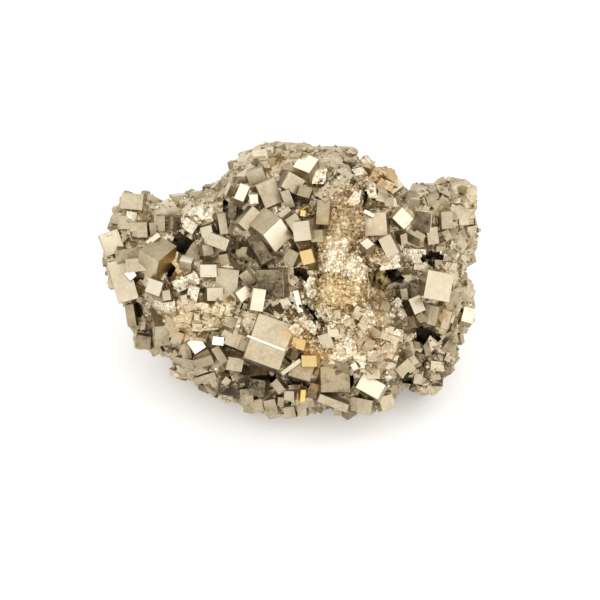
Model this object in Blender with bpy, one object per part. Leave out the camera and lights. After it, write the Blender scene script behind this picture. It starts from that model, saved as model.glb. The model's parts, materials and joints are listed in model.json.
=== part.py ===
"""A pyrite specimen: one lump of intergrown cubic crystals, cut flat underneath so that it stands.

The crystals are laid out on the display face, which leans back from the viewer. Places on the face
are counted on a survey grid of 0.2 mm squares, across from its left and down from its top. The
object's own axes are +X right, +Y back and +Z up, with the origin under the middle, on the base.
"""

import math
import random

import bmesh
import bpy
from mathutils import Euler, Matrix, Vector, noise

GRID = 0.0002  # side of a survey square
MIDDLE_ACROSS = 288
MIDDLE_DOWN = 280
FACE_LEAN = math.radians(40)  # how far the display face leans back
FACE_CENTRE = Vector((-0.000005, 0.00077, 0.0205))  # middle of the display face, above the base
FRONT_BULGE = 0.0175  # from the middle of the face to the front of the lump
BACK_BULGE = 0.0225
ROUNDNESS = 2.3  # power of the lump's section: 2 is an ellipse, more is boxier
RIM_INSET = 0.0013  # the lump stays this far inside the outline of its crystals
CRAG_HEIGHT = 0.0010
CRAG_PITCH = 0.0060
FACETS_KEPT = 0.3  # share of the lump's facets that stay when it is made angular
ROOT = 0.0005  # a crystal is held by rock that reaches at least this far below the skin
ROOT_SHARE = 0.75  # side of the rock behind a crystal against the crystal's shortest edge
CRYSTAL_LIFT = 0.0008  # the surveyed crystals stand this much prouder than their rows say

# Unsurveyed crystals on the back and sides: how many, least and greatest side, and least and greatest
# height of their highest corner above the skin.
COARSE_CRYSTALS = 135
COARSE_SIDE = (0.0045, 0.0080)
COARSE_RISE = (0.0010, 0.0022)
FINE_CRYSTALS = 40
FINE_SIDE = (0.0018, 0.0034)
FINE_RISE = (0.0010, 0.0020)
BACK_GAIN = 1.25  # they are this much larger behind the display face
RIM_SHARE = 0.6  # and rise only this share at the outline of the face
FRONT_FROM = 0.45  # they stop at this height in front, where the surveyed crystals are
CAVITY_FILL = 1.35  # side of a cavity's block against its half width
MASS_POWER = 3.0  # roundness of a granular mass: 2 is an egg, more is boxier
MASS_CRAGS = 0.16  # how far its surface wanders, against its size
SEED = 7

# Outline of the display face in survey squares, clockwise from the left.
OUTLINE = [
    (98, 250), (105, 229), (110, 209), (124, 192), (150, 196), (160, 203), (171, 206), (174, 197),
    (188, 192), (208, 184), (226, 166), (243, 151), (258, 141), (285, 143), (310, 146), (340, 149),
    (360, 156), (380, 169), (396, 177), (412, 194), (440, 190), (452, 178), (478, 186), (477, 228),
    (474, 255), (466, 275), (477, 303), (480, 322), (463, 336), (458, 360), (444, 379), (430, 399),
    (410, 388), (397, 388), (384, 415), (356, 417), (332, 410), (310, 418), (270, 417), (247, 412),
    (222, 404), (204, 390), (177, 379), (167, 359), (145, 351), (130, 333), (121, 307), (103, 282),
]

# Crystals of the display face. A row has the corner nearest the viewer, the far ends of the front
# face's two edges from there and of the edge that runs back from there, each as across and down in
# survey squares, and then how far the near corner stands proud of the lump, in millimetres.
CRYSTALS = [
    # Left wing
    (108, 257, 125.5, 248, 102.5, 235, 106, 257.3, 5.0),
    (122, 206, 112, 210, 124, 221, 124, 203, 0.6),
    (146, 258, 118, 262, 143.5, 246.5, 147, 260, 2.2),
    (143, 211, 145, 195, 121, 209, 146, 214, 2.0),
    (148, 223, 131, 222, 150, 238, 152, 220, 2.5),
    (166, 217, 155, 216, 167, 232, 168, 214, 1.5),
    (160, 262, 139, 253, 182, 249, 157, 282, 5.5),
    (140, 298, 119, 300, 122, 260, 143, 297, 3.2),
    (150, 271, 128, 270, 147, 258, 151, 273, 2.6),
    (134, 304, 125, 303.5, 141, 325, 138, 301.5, 1.5),
    (165, 283, 151, 277, 161.5, 297, 168, 281.5, 4.0),
    (156, 327, 172, 326, 147, 298, 155, 348, 3.5),
    (152, 337, 137, 334, 151, 350, 157, 334, 1.5),
    (199, 226, 188, 216.5, 194, 236, 203, 226, 3.0),
    (218, 215, 226, 213, 219.5, 236, 215, 213, 3.0),
    (212, 226, 201, 230, 214, 243, 215, 224, 3.0),
    (172, 196.5, 188, 193.5, 172, 211, 169, 194, 2.0),
    (230.5, 240.5, 212, 232, 227, 252, 234, 240, 4.0),
    (201, 288, 190, 286, 196, 304, 204, 286, 2.5),
    (217.5, 265, 201, 265.5, 217.5, 277.5, 220, 263, 4.0),
    (208, 288, 224, 287, 208, 301, 203, 288.5, 3.0),
    (240, 271, 218, 266, 240, 306, 244, 268, 3.0),
    # Left shoulder of the dome
    (214, 188, 222, 199, 220, 178, 210, 188.5, 2.5),
    (244, 203, 234.5, 199.5, 251, 188, 242.5, 209.5, 5.0),
    (256, 187, 274, 178.5, 266, 210, 250, 188, 5.0),
    (328, 226, 316, 222, 323, 202, 331, 228, 4.4),
    (281, 188, 289, 172.5, 297, 197.5, 276, 187, 4.5),
    (289, 190.5, 280, 192.5, 297, 207, 291, 187, 4.0),
    (309, 174.5, 292, 169, 320, 161, 310.5, 186, 4.5),
    # Top of the dome and the grey band behind it
    (270, 151, 257, 152, 270, 167, 273, 149, 2.5),
    (262, 168, 245, 174, 268, 180, 264, 164, 3.0),
    (273, 145, 256, 146, 274, 154, 277, 143, 0.5),
    (308, 149, 276, 148, 310, 160, 312, 146, 0.5),
    (343, 152, 311, 150, 345, 163, 347, 150, 0.3),
    (396, 180, 382, 176, 397, 193, 399, 178, 1.0),
    (378, 172, 364, 167, 377, 184, 382, 170, 1.0),
    # Upper right
    (325, 203, 313, 199, 352, 184, 331, 216, 5.2),
    (343, 188, 328, 184, 357, 180, 344, 196, 4.2),
    (366, 200, 362, 185, 377, 200, 364, 204, 2.0),
    (397, 197, 380, 204, 404, 208, 399, 193, 3.0),
    (385, 214, 362, 214.5, 387, 236, 390, 210, 6.0),
    (389, 235, 376, 237, 403, 250, 391, 232.5, 5.0),
    (391, 219, 400, 208, 402, 231, 387, 219, 6.0),
    (431, 213, 414, 210, 430, 234, 435, 209.5, 3.0),
    (440, 213, 451, 212, 441, 230, 436, 210, 3.0),
    (464, 190, 448, 189, 467, 180, 468, 203, 1.0),
    (475, 188, 463, 186, 474, 208, 478, 186, 0.5),
    (452, 231, 441, 232, 455, 246, 455, 228, 1.5),
    (466, 233, 456, 231, 463, 248, 469, 231, 1.0),
    (458, 210, 474, 208, 457, 226, 455, 208, 0.8),
    (425, 229, 436, 227, 427, 246, 422, 227, 1.5),
    # Middle of the dome, with the keystone cube on its edge
    (264, 236.5, 245, 227, 283, 221.5, 276, 253.5, 7.5),
    (285, 221, 294, 212, 291.5, 238, 283, 217, 4.5),
    (263, 265, 246, 240, 274, 259, 262, 270, 4.0),
    (239, 224, 254.5, 207.5, 248, 231.5, 234, 224, 6.5),
    (238, 203, 231, 199, 243, 219, 240, 200, 3.0),
    (308.5, 221.5, 291.5, 223.5, 311, 241, 316, 218.5, 5.5),
    (311, 249.5, 299, 252.5, 315, 263, 313, 246, 4.0),
    (299, 254, 290, 245, 296, 269, 305, 254, 2.0),
    (283, 270, 257, 269, 286, 299, 289, 267, 4.0),
    (247, 270, 239, 276, 257, 282, 248, 266, 3.0),
    (254, 288, 267, 290, 250.5, 310, 251, 285.5, 5.5),
    # Large stepped cube and the crystals to its left
    (244, 357, 279, 371, 258, 312, 239, 360, 6.3),
    (224, 343, 246, 354, 230, 322, 219, 345, 2.5),
    (196, 354, 207.5, 347, 187.5, 342.5, 197, 356, 4.0),
    (212, 354.5, 194, 358.5, 216, 363, 214, 350, 4.5),
    (219, 345, 229, 360, 212, 349, 221, 341, 3.5),
    (229, 356, 245, 358, 226, 369, 226, 352, 3.0),
    (241, 375, 240, 367, 268, 374, 239, 383, 2.5),
    (240, 397, 217, 391, 243, 376, 243, 399, 3.4),
    (196, 360, 176, 356, 195, 368, 199, 358, 2.0),
    (181, 344, 190, 342, 184, 360, 178, 342, 2.5),
    # Foot of the dome
    (266, 380, 251, 374, 268, 397, 271, 377, 3.0),
    (240, 389, 253, 387, 241, 405, 236, 386, 2.0),
    (275, 398, 263, 400, 279, 413, 277, 395, 2.0),
    (310, 381, 287, 380, 318, 366.5, 309, 384, 4.5),
    (316, 355, 301, 353, 318, 366, 320, 352, 4.0),
    (321, 391.5, 350, 391, 320, 366, 316, 395, 5.5),
    (320, 393, 350, 400, 316, 400, 321, 389, 6.0),
    (377, 398.5, 354, 388.5, 386, 385, 379, 402, 6.5),
    (372, 400, 351, 395, 370, 415, 376, 398, 3.0),
    (378, 397, 391, 391, 380, 411, 374, 398, 2.0),
    (319, 384, 309, 381.5, 316, 399, 322, 382, 1.5),
    # Right wing
    (422, 298, 447, 303.5, 426, 270, 416, 296.5, 6.0),
    (407, 299.5, 418, 294, 413, 315, 400, 302, 5.0),
    (415, 327, 398, 330, 412, 316, 422, 330, 3.0),
    (418, 280, 416.5, 297, 409, 283, 421, 279, 2.0),
    (460, 320.5, 471, 324.5, 462.5, 306, 457, 324.5, 3.5),
    (394, 369, 402, 379.5, 406, 357, 390.5, 370, 3.5),
    (436, 382, 420, 379, 433, 395, 440, 379, 1.0),
    (438, 307, 425, 303.5, 434, 326, 442, 305, 2.5),
    (451, 312, 440, 308, 447, 330, 454, 310, 2.0),
    # Granular ridge
    (329, 332, 317, 336, 334, 346, 331, 328, 4.0),
    (352, 352, 366, 349, 356, 369, 349, 350, 3.0),
    (354, 335, 337, 338, 356, 352, 357, 333, 3.0),
    (389, 341, 371, 336, 394, 327, 391, 345, 4.0),
    (391, 359, 378, 353, 396, 345, 393, 363, 3.6),
    (371, 373, 361, 362, 381, 361, 371, 378, 3.2),
    (398, 254, 378, 258, 400, 268, 402, 252, 2.5),
    (425, 250, 402, 249, 424, 264, 429, 247, 2.5),
]

# Broad hollows (minus) and swells of the lump: middle across and down and reach in survey squares,
# and height in millimetres.
SWELLS = [
    (205, 248, 26, -3.5), (243, 258, 18, -3.5), (168, 232, 18, -1.5), (400, 285, 20, -3.5),
    (418, 345, 24, -3.5), (262, 388, 30, -3.0), (135, 315, 16, -2.5), (300, 300, 14, -2.0),
    (300, 200, 40, 3.0), (262, 340, 28, 2.0), (350, 290, 30, 2.0), (368, 388, 26, 2.5),
    (436, 285, 24, 2.0), (132, 268, 28, 2.0), (205, 325, 24, 1.5), (385, 225, 24, 1.5),
]

# Masses of granular rock among the crystals: middle across and down, half width and half height in
# survey squares, and height above the skin in millimetres.
MASSES = [
    (342, 207, 19, 15, 4.0), (341, 228, 22, 20, 4.2), (335, 244, 17, 12, 3.6),
    (333, 261, 14, 15, 5.0), (351, 272, 13, 17, 4.8), (341, 291, 23, 17, 4.6),
    (331, 309, 15, 12, 3.8), (352, 315, 22, 12, 4.4), (377, 314, 14, 15, 3.0),
    (311, 284, 9, 17, 2.6), (361, 338, 9, 17, 3.4), (342, 331, 24, 12, 3.4),
    (380, 342, 17, 20, 3.0), (382, 366, 14, 14, 2.8), (318, 347, 14, 10, 2.6),
    (204, 321, 34, 10, 2.1),
]

# Cavities between the crystals: middle across and down, half width and half height in survey
# squares, and depth in millimetres.
CAVITIES = [
    (182, 244, 13, 13, 7.0), (226, 208, 4, 10, 4.0), (243, 254, 15, 14, 9.0),
    (245, 307, 5, 5, 4.0), (288, 308, 9, 9, 6.0), (303, 277, 9, 7, 5.0),
    (138, 313, 7, 13, 4.0), (153, 326, 4, 5, 3.0), (348, 168, 10, 8, 5.0),
    (321, 181, 8, 6, 5.0), (293, 200, 4, 8, 4.0), (363, 199, 4, 7, 4.0),
    (380, 246, 13, 6, 6.0), (374, 278, 4, 12, 4.0), (394, 277, 9, 9, 6.0),
    (431, 260, 10, 8, 5.0), (423, 335, 14, 10, 6.0), (457, 316, 5, 9, 3.0),
    (407, 379, 11, 10, 6.0), (230, 376, 12, 9, 6.0), (272, 377, 7, 8, 5.0),
    (299, 385, 10, 6, 5.0), (200, 368, 9, 5, 4.0), (351, 380, 4, 7, 4.0),
    (292, 355, 8, 8, 5.0), (171, 270, 6, 11, 5.0),
]


def clear_scene():
    for obj in list(bpy.data.objects):
        bpy.data.objects.remove(obj, do_unlink=True)


def add_collection(name):
    collection = bpy.data.collections.new(name)
    bpy.context.scene.collection.children.link(collection)
    return collection


def add_object(name, mesh, collection):
    obj = bpy.data.objects.new(name, mesh)
    collection.objects.link(obj)
    return obj


def face_to_object():
    """Matrix from the display face's axes (right, up the face, out of it) to the object's."""
    right = (1.0, 0.0, 0.0)
    up = (0.0, math.sin(FACE_LEAN), math.cos(FACE_LEAN))
    out = (0.0, -math.cos(FACE_LEAN), math.sin(FACE_LEAN))
    return Matrix.Translation(FACE_CENTRE) @ Matrix((right, up, out)).transposed().to_4x4()


def on_face(across, down):
    """A surveyed place as metres right of the middle of the face and up it."""
    return Vector((across - MIDDLE_ACROSS, MIDDLE_DOWN - down)) * GRID


def outline_radius(angle):
    """Distance from the middle of the face to its outline, at an angle from the right."""
    ray = Vector((math.cos(angle), math.sin(angle)))
    corners = [on_face(*place) for place in OUTLINE]
    best = 0.0
    for start, end in zip(corners, corners[1:] + corners[:1]):
        side = end - start
        cross = ray.x * side.y - ray.y * side.x
        if abs(cross) < 1e-12:
            continue
        distance = (start.x * side.y - start.y * side.x) / cross
        part = (start.x * ray.y - start.y * ray.x) / cross
        if distance > 0 and 0 <= part <= 1:
            best = max(best, distance)
    return best


def skin_radius(direction):
    """Distance from the lump's middle to its skin, in a direction in the face's axes."""
    flat = math.hypot(direction.x, direction.y)
    rim = outline_radius(math.atan2(direction.y, direction.x)) - RIM_INSET
    bulge = FRONT_BULGE if direction.z > 0 else BACK_BULGE
    power = (flat / rim) ** ROUNDNESS + (abs(direction.z) / bulge) ** ROUNDNESS
    return power ** (-1 / ROUNDNESS)


def swell(place):
    """How far the hollows and swells shift the skin out of the face, at a place on it."""
    total = 0.0
    for across, down, reach, height in SWELLS:
        distance = (place - on_face(across, down)).length / (reach * GRID)
        total += height / 1000 * math.exp(-distance * distance)
    return total


def skin_height(place):
    """How far the lump's skin stands out of the plane of the face at a place on it."""
    rim = outline_radius(math.atan2(place.y, place.x)) - RIM_INSET
    inward = max(1 - (place.length / rim) ** ROUNDNESS, 0.0) ** (1 / ROUNDNESS)
    return FRONT_BULGE * inward + swell(place) * inward


def skin_place(direction):
    """The place on the lump's skin in a direction from its middle, in the face's axes."""
    place = direction * skin_radius(direction)
    if direction.z > 0:
        place.z += swell(place.xy) * place.z / FRONT_BULGE
    return place


def make_lump(collection):
    """The body that all the crystals stand on, as an angular closed shape."""
    shape = bmesh.new()
    bmesh.ops.create_icosphere(shape, subdivisions=4, radius=1.0)
    for corner in shape.verts:
        direction = corner.co.normalized()
        place = skin_place(direction)
        corner.co = place + direction * noise.noise(place / CRAG_PITCH) * CRAG_HEIGHT
    shape.transform(face_to_object())
    mesh = bpy.data.meshes.new("pyrite_cluster")
    shape.to_mesh(mesh)
    shape.free()
    lump = add_object("pyrite_cluster", mesh, collection)
    angular = lump.modifiers.new("angular", "DECIMATE")
    angular.ratio = FACETS_KEPT
    bake_modifiers(lump)
    return lump


def bake_modifiers(obj):
    graph = bpy.context.evaluated_depsgraph_get()
    baked = bpy.data.meshes.new_from_object(obj.evaluated_get(graph))
    obj.modifiers.clear()
    obj.data = baked


def make_block(name, matrix, collection):
    """A box that is one unit each way, set in place by its matrix."""
    shape = bmesh.new()
    bmesh.ops.create_cube(shape, size=1.0, matrix=matrix)
    if matrix.determinant() < 0:
        bmesh.ops.reverse_faces(shape, faces=shape.faces)
    mesh = bpy.data.meshes.new(name)
    shape.to_mesh(mesh)
    shape.free()
    block = add_object(name, mesh, collection)
    block.hide_render = True
    block.display_type = "WIRE"
    return block


def crystal_edges(row):
    """A crystal's three edges from its near corner, in the face's axes and at their true length.

    How far the third edge is seen to run across the face gives the lean of the front face, and the
    lean gives how far the first two edges run back.
    """
    near, first, second, back = [on_face(*row[i : i + 2]) for i in (0, 2, 4, 6)]
    first = first - near
    second = second - near
    seen = back - near
    depth = (first.length + second.length) / 2
    for _ in range(8):
        across = seen / max(depth, 1.02 * seen.length)
        normal = Vector((-across.x, -across.y, math.sqrt(1 - across.length_squared)))
        edges = [Vector((*seen_edge, -across_lean(normal, seen_edge))) for seen_edge in (first, second)]
        lengths = [edge.length for edge in edges]
        depth = sum(lengths) / 2
    middle = (edges[0].normalized() + edges[1].normalized()).normalized()
    spread = (edges[0].normalized() - edges[1].normalized()).normalized()
    one = (middle + spread).normalized() * lengths[0]
    two = (middle - spread).normalized() * lengths[1]
    three = one.cross(two).normalized() * depth
    return one, two, -three if three.z > 0 else three


def across_lean(normal, seen_edge):
    """How far an edge in the plane of the normal comes forward for what is seen of it."""
    return (normal.x * seen_edge.x + normal.y * seen_edge.y) / normal.z


def make_crystal(name, row, collection):
    place = on_face(*row[:2])
    near = Vector((*place, skin_height(place) + row[8] / 1000 + CRYSTAL_LIFT))
    one, two, three = crystal_edges(row)
    matrix = Matrix((one, two, three)).transposed().to_4x4()
    matrix.translation = near + (one + two + three) / 2
    make_block(name, face_to_object() @ matrix, collection)
    make_root(name + "_root", matrix, collection)


def make_root(name, crystal, collection):
    """Rock behind a crystal that stands clear of the lump, square to its first edge."""
    centre = crystal.translation
    foot = skin_height(centre.xy) - ROOT
    reach = sum(abs(crystal.col[axis].z) for axis in range(3)) / 2
    if centre.z - reach < foot:
        return
    side = ROOT_SHARE * min(crystal.col[axis].to_3d().length for axis in range(3))
    turn = Matrix.Rotation(math.atan2(crystal.col[0].y, crystal.col[0].x), 4, "Z")
    root = turn @ Matrix.Diagonal((side, side, centre.z - foot, 1))
    root.translation = (centre.x, centre.y, (centre.z + foot) / 2)
    make_block(name, face_to_object() @ root, collection)


def scatter_crystals(name, count, sides, rises, chance, collection):
    """Crystals at odd angles, spread evenly over the back and sides of the lump."""
    turn = math.pi * (3 - math.sqrt(5))
    for number in range(count):
        height = 1 - (2 * number + 1) / count
        ring = math.sqrt(1 - height * height)
        direction = Vector((ring * math.cos(number * turn), ring * math.sin(number * turn), height))
        side = chance.uniform(*sides) * (BACK_GAIN if height < 0 else 1.0)
        rise = chance.uniform(*rises) * (RIM_SHARE if abs(height) < 0.4 else 1.0)
        tilt = Euler([chance.uniform(-math.pi, math.pi) for _ in range(3)]).to_matrix()
        size = Matrix.Diagonal((side, side * chance.uniform(0.7, 1.1), side))
        crystal = tilt @ size
        reach = sum(abs(direction.dot(column)) for column in crystal.transposed()) / 2
        matrix = crystal.to_4x4()
        matrix.translation = skin_place(direction) - direction * (reach - rise)
        if height <= FRONT_FROM:
            make_block(f"{name}_{number:03d}", face_to_object() @ matrix, collection)


def make_cavity(name, row, chance, collection):
    """An angular hole, as a block sunk corner first into the lump."""
    place = on_face(*row[:2])
    half = Vector((row[2] * GRID, row[3] * GRID, row[4] / 1000))
    turned = Euler([chance.uniform(-math.pi, math.pi) for _ in range(3)]).to_matrix().to_4x4()
    centre = Matrix.Translation((*place, skin_height(place)))
    block = centre @ Matrix.Diagonal((*half, 1)) @ turned @ Matrix.Scale(CAVITY_FILL, 4)
    return make_block(name, face_to_object() @ block, collection)


def make_mass(name, row, collection):
    """A blocky mass of granular rock, sunk half way into the lump."""
    across, down, half_across, half_down, proud = row
    place = on_face(across, down)
    centre = Vector((*place, skin_height(place)))
    shape = bmesh.new()
    bmesh.ops.create_icosphere(shape, subdivisions=2, radius=1.0)
    for corner in shape.verts:
        corner.co *= sum(abs(part) ** MASS_POWER for part in corner.co) ** (-1 / MASS_POWER)
        corner.co *= 1 + MASS_CRAGS * noise.noise(2.1 * corner.co + 9 * centre / GRID)
    size = Matrix.Diagonal((half_across * GRID, half_down * GRID, proud / 1000, 1))
    shape.transform(face_to_object() @ Matrix.Translation(centre) @ size)
    mesh = bpy.data.meshes.new(name)
    shape.to_mesh(mesh)
    shape.free()
    mass = add_object(name, mesh, collection)
    mass.hide_render = True


def combine(obj, operation, collection):
    """Joins a collection's shapes to the object, or cuts them out of it, and clears them away."""
    step = obj.modifiers.new(operation, "BOOLEAN")
    step.operation = operation
    step.solver = "EXACT"
    step.operand_type = "COLLECTION"
    step.collection = collection
    bake_modifiers(obj)
    for other in list(collection.objects):
        bpy.data.objects.remove(other, do_unlink=True)


def keep_largest_shell(obj):
    """Drops any crumb that the cavities cut loose and any pocket closed up inside."""
    shape = bmesh.new()
    shape.from_mesh(obj.data)
    left = set(shape.faces)
    shells = []
    while left:
        shell = {left.pop()}
        edge_of = list(shell)
        while edge_of:
            face = edge_of.pop()
            for edge in face.edges:
                for other in edge.link_faces:
                    if other in left:
                        left.remove(other)
                        shell.add(other)
                        edge_of.append(other)
        shells.append(shell)
    largest = max(shells, key=len)
    extra = [face for shell in shells if shell is not largest for face in shell]
    bmesh.ops.delete(shape, geom=extra, context="FACES")
    shape.to_mesh(obj.data)
    shape.free()


def cut_base(obj, cutters):
    """Cuts the lump flat at the height of the origin."""
    size = 0.12
    make_block("base_cutter", Matrix.Translation((0, 0, -size / 2)) @ Matrix.Scale(size, 4), cutters)
    combine(obj, "DIFFERENCE", cutters)


def pyrite_material():
    material = bpy.data.materials.new("Pyrite")
    material.use_nodes = True
    surface = material.node_tree.nodes["Principled BSDF"]
    surface.inputs["Base Color"].default_value = (0.56, 0.49, 0.34, 1.0)
    surface.inputs["Metallic"].default_value = 0.85
    surface.inputs["Roughness"].default_value = 0.38
    material.diffuse_color = (0.56, 0.49, 0.34, 1.0)
    return material


def main():
    clear_scene()
    chance = random.Random(SEED)
    parts = add_collection("pyrite_specimen")
    cutters = add_collection("cutters")
    lump = make_lump(parts)
    scatter_crystals("coarse", COARSE_CRYSTALS, COARSE_SIDE, COARSE_RISE, chance, cutters)
    scatter_crystals("fine", FINE_CRYSTALS, FINE_SIDE, FINE_RISE, chance, cutters)
    combine(lump, "UNION", cutters)
    for number, row in enumerate(CAVITIES):
        make_cavity(f"cavity_{number:02d}", row, chance, cutters)
    combine(lump, "DIFFERENCE", cutters)
    for number, row in enumerate(CRYSTALS):
        make_crystal(f"crystal_{number:03d}", row, cutters)
    for number, row in enumerate(MASSES):
        make_mass(f"mass_{number:02d}", row, cutters)
    combine(lump, "UNION", cutters)
    cut_base(lump, cutters)
    keep_largest_shell(lump)
    lump.data.materials.clear()
    lump.data.materials.append(pyrite_material())


main()
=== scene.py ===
import json
import math
import random

import bmesh
import bpy
from mathutils import Euler, Matrix, Vector, noise

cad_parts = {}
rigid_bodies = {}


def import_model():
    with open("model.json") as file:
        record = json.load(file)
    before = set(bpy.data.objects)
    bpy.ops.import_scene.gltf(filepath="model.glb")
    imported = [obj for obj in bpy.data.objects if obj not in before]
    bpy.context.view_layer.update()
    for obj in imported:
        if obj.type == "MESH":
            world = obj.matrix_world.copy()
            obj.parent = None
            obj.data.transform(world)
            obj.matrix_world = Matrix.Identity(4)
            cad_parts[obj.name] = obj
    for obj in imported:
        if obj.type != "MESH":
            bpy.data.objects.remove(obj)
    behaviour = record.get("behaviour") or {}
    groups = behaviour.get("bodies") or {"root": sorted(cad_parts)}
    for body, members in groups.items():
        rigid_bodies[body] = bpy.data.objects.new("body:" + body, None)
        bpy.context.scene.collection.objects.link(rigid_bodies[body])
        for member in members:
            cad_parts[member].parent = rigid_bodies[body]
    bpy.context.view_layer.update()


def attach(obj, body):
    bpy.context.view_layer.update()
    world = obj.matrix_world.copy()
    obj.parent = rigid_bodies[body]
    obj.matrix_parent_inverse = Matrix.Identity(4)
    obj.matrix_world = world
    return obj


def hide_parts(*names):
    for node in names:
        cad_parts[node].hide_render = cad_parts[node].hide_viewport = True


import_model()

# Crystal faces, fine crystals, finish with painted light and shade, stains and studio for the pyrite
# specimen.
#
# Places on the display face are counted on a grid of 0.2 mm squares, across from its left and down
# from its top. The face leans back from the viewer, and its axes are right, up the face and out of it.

MILLIMETRES = 1000  # in a metre
SEED = 7

# The grid of the display face, and how the face stands.
GRID = 0.0002  # side of a grid square, in metres
MIDDLE_ACROSS = 288
MIDDLE_DOWN = 280
FACE_LEAN = math.radians(40)
FACE_CENTRE = Vector((-0.000005, 0.00077, 0.0205))
OUTWARD = Vector((0, 0, 1))

# The lump that the crystals stand on, in metres.
FRONT_BULGE = 0.0175  # from the face's plane to the foremost skin
BACK_BULGE = 0.0225  # and to the rearmost
ROUNDNESS = 2.3  # 2 is an egg, more is boxier
RIM_INSET = 0.0013  # the skin's rim inside the outline
LUMP_DIVISIONS = 6
CRAG_HEIGHT = 0.0010
CRAG_PITCH = 0.0060
SMALL_CRAG_HEIGHT = 0.35  # of the crag height
SMALL_CRAG_PITCH = 0.3  # of the crag pitch
BASE_BLOCK = 0.12  # side of the block that cuts the rest face flat

# Laid-out crystals.
CRYSTAL_LIFT = 0.0008  # added to how far each stands proud
LEAST_DEPTH = 1.02  # a crystal's depth against the seen length of its rearward edge, at the least
DEPTH_ROUNDS = 8
ROOT = 0.0015  # how far below the skin a root starts
ROOT_SHARE = 0.75  # a root's side against its crystal's shortest edge
SUGARY_GRAIN = 0.5  # share of fine crystals on a sugary or sparkly crystal

# Strewn crystals: name, how many, sides, heights of the highest corner above the skin, and the
# finishes they take.
STREWN = [
    ("coarse", 135, (0.0045, 0.0080), (0.0010, 0.0022), "tan dull dull pale"),
    ("fine", 70, (0.0018, 0.0034), (0.0010, 0.0020), "tan pale dull"),
    ("small", 900, (0.0014, 0.0030), (0.0006, 0.0017), "tan pale dull dim tan"),
]
STREWN_FORMS = ("plain", "plain", "terraced", "ledged", "notched")
STREWN_SQUASH = (0.7, 1.1)  # one side of the crystal against the others
STREWN_GRAIN = 0.35
GOLDEN_TURN = math.pi * (3 - math.sqrt(5))  # from one crystal's direction to the next
BACK_GAIN = 1.25  # sides behind the face's plane
RIM_SHARE = 0.6  # heights near the rim
RIM_HALF = 0.4  # how far the rim reaches to the front and to the back, of the whole way
FRONT_SHARE = 0.35  # heights on the display face
FRONT_FROM = 0.45  # where the display face starts, of the way from the rim to its middle

# What each finish word means: tarnish and painted light and shade from 0 to 1, strength of the
# growth lines, gold, and crust. The lighter words paint highlights and the darker words paint shade.
FINISH_AND_SHADE_WORDS = {
    "white": (0.0, 0.15, 0.0, 0.0),
    "bright": (0.15, 0.35, 0.0, 0.0),
    "light": (0.23, 0.45, 0.0, 0.05),
    "pale": (0.32, 0.6, 0.0, 0.1),
    "tan": (0.50, 1.0, 0.0, 0.2),
    "dull": (0.66, 0.7, 0.0, 0.15),
    "dark": (0.86, 0.3, 0.0, 0.1),
    "dim": (0.77, 0.4, 0.0, 0.1),
    "black": (0.98, 0.2, 0.0, 0.0),
    "umber": (0.88, 0.0, 0.25, 0.9),
    "gold": (0.30, 0.3, 0.6, 0.2),
    "brassy": (0.12, 0.1, 0.55, 0.3),
    "yellow": (0.05, 0.1, 1.0, 0.0),
    "crust": (0.42, 0.0, 0.05, 1.0),
    "drab": (0.45, 0.0, 0.04, 0.5),
    "sandy": (0.38, 0.0, 0.14, 1.0),
    "golden": (0.26, 0.0, 0.30, 1.0),
    "sugary": (0.20, 0.0, 0.0, 1.0),
    "sparkly": (0.12, 0.0, 0.03, 0.9),
    "frosty": (0.03, 0.0, 0.0, 0.8),
}

# Outline of the display face, clockwise from the left.
OUTLINE = [
    (98, 250), (105, 229), (110, 209), (124, 192), (150, 196), (160, 203), (171, 206), (174, 197),
    (188, 192), (208, 184), (226, 166), (243, 151), (258, 141), (285, 143), (310, 146), (340, 149),
    (360, 156), (380, 169), (396, 177), (412, 194), (440, 190), (452, 178), (478, 186), (477, 228),
    (474, 255), (466, 275), (477, 303), (480, 322), (463, 336), (458, 360), (444, 379), (430, 399),
    (410, 388), (397, 388), (384, 415), (356, 417), (332, 410), (310, 418), (270, 417), (247, 412),
    (222, 404), (204, 390), (177, 379), (167, 359), (145, 351), (130, 333), (121, 307), (103, 282),
]
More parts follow.
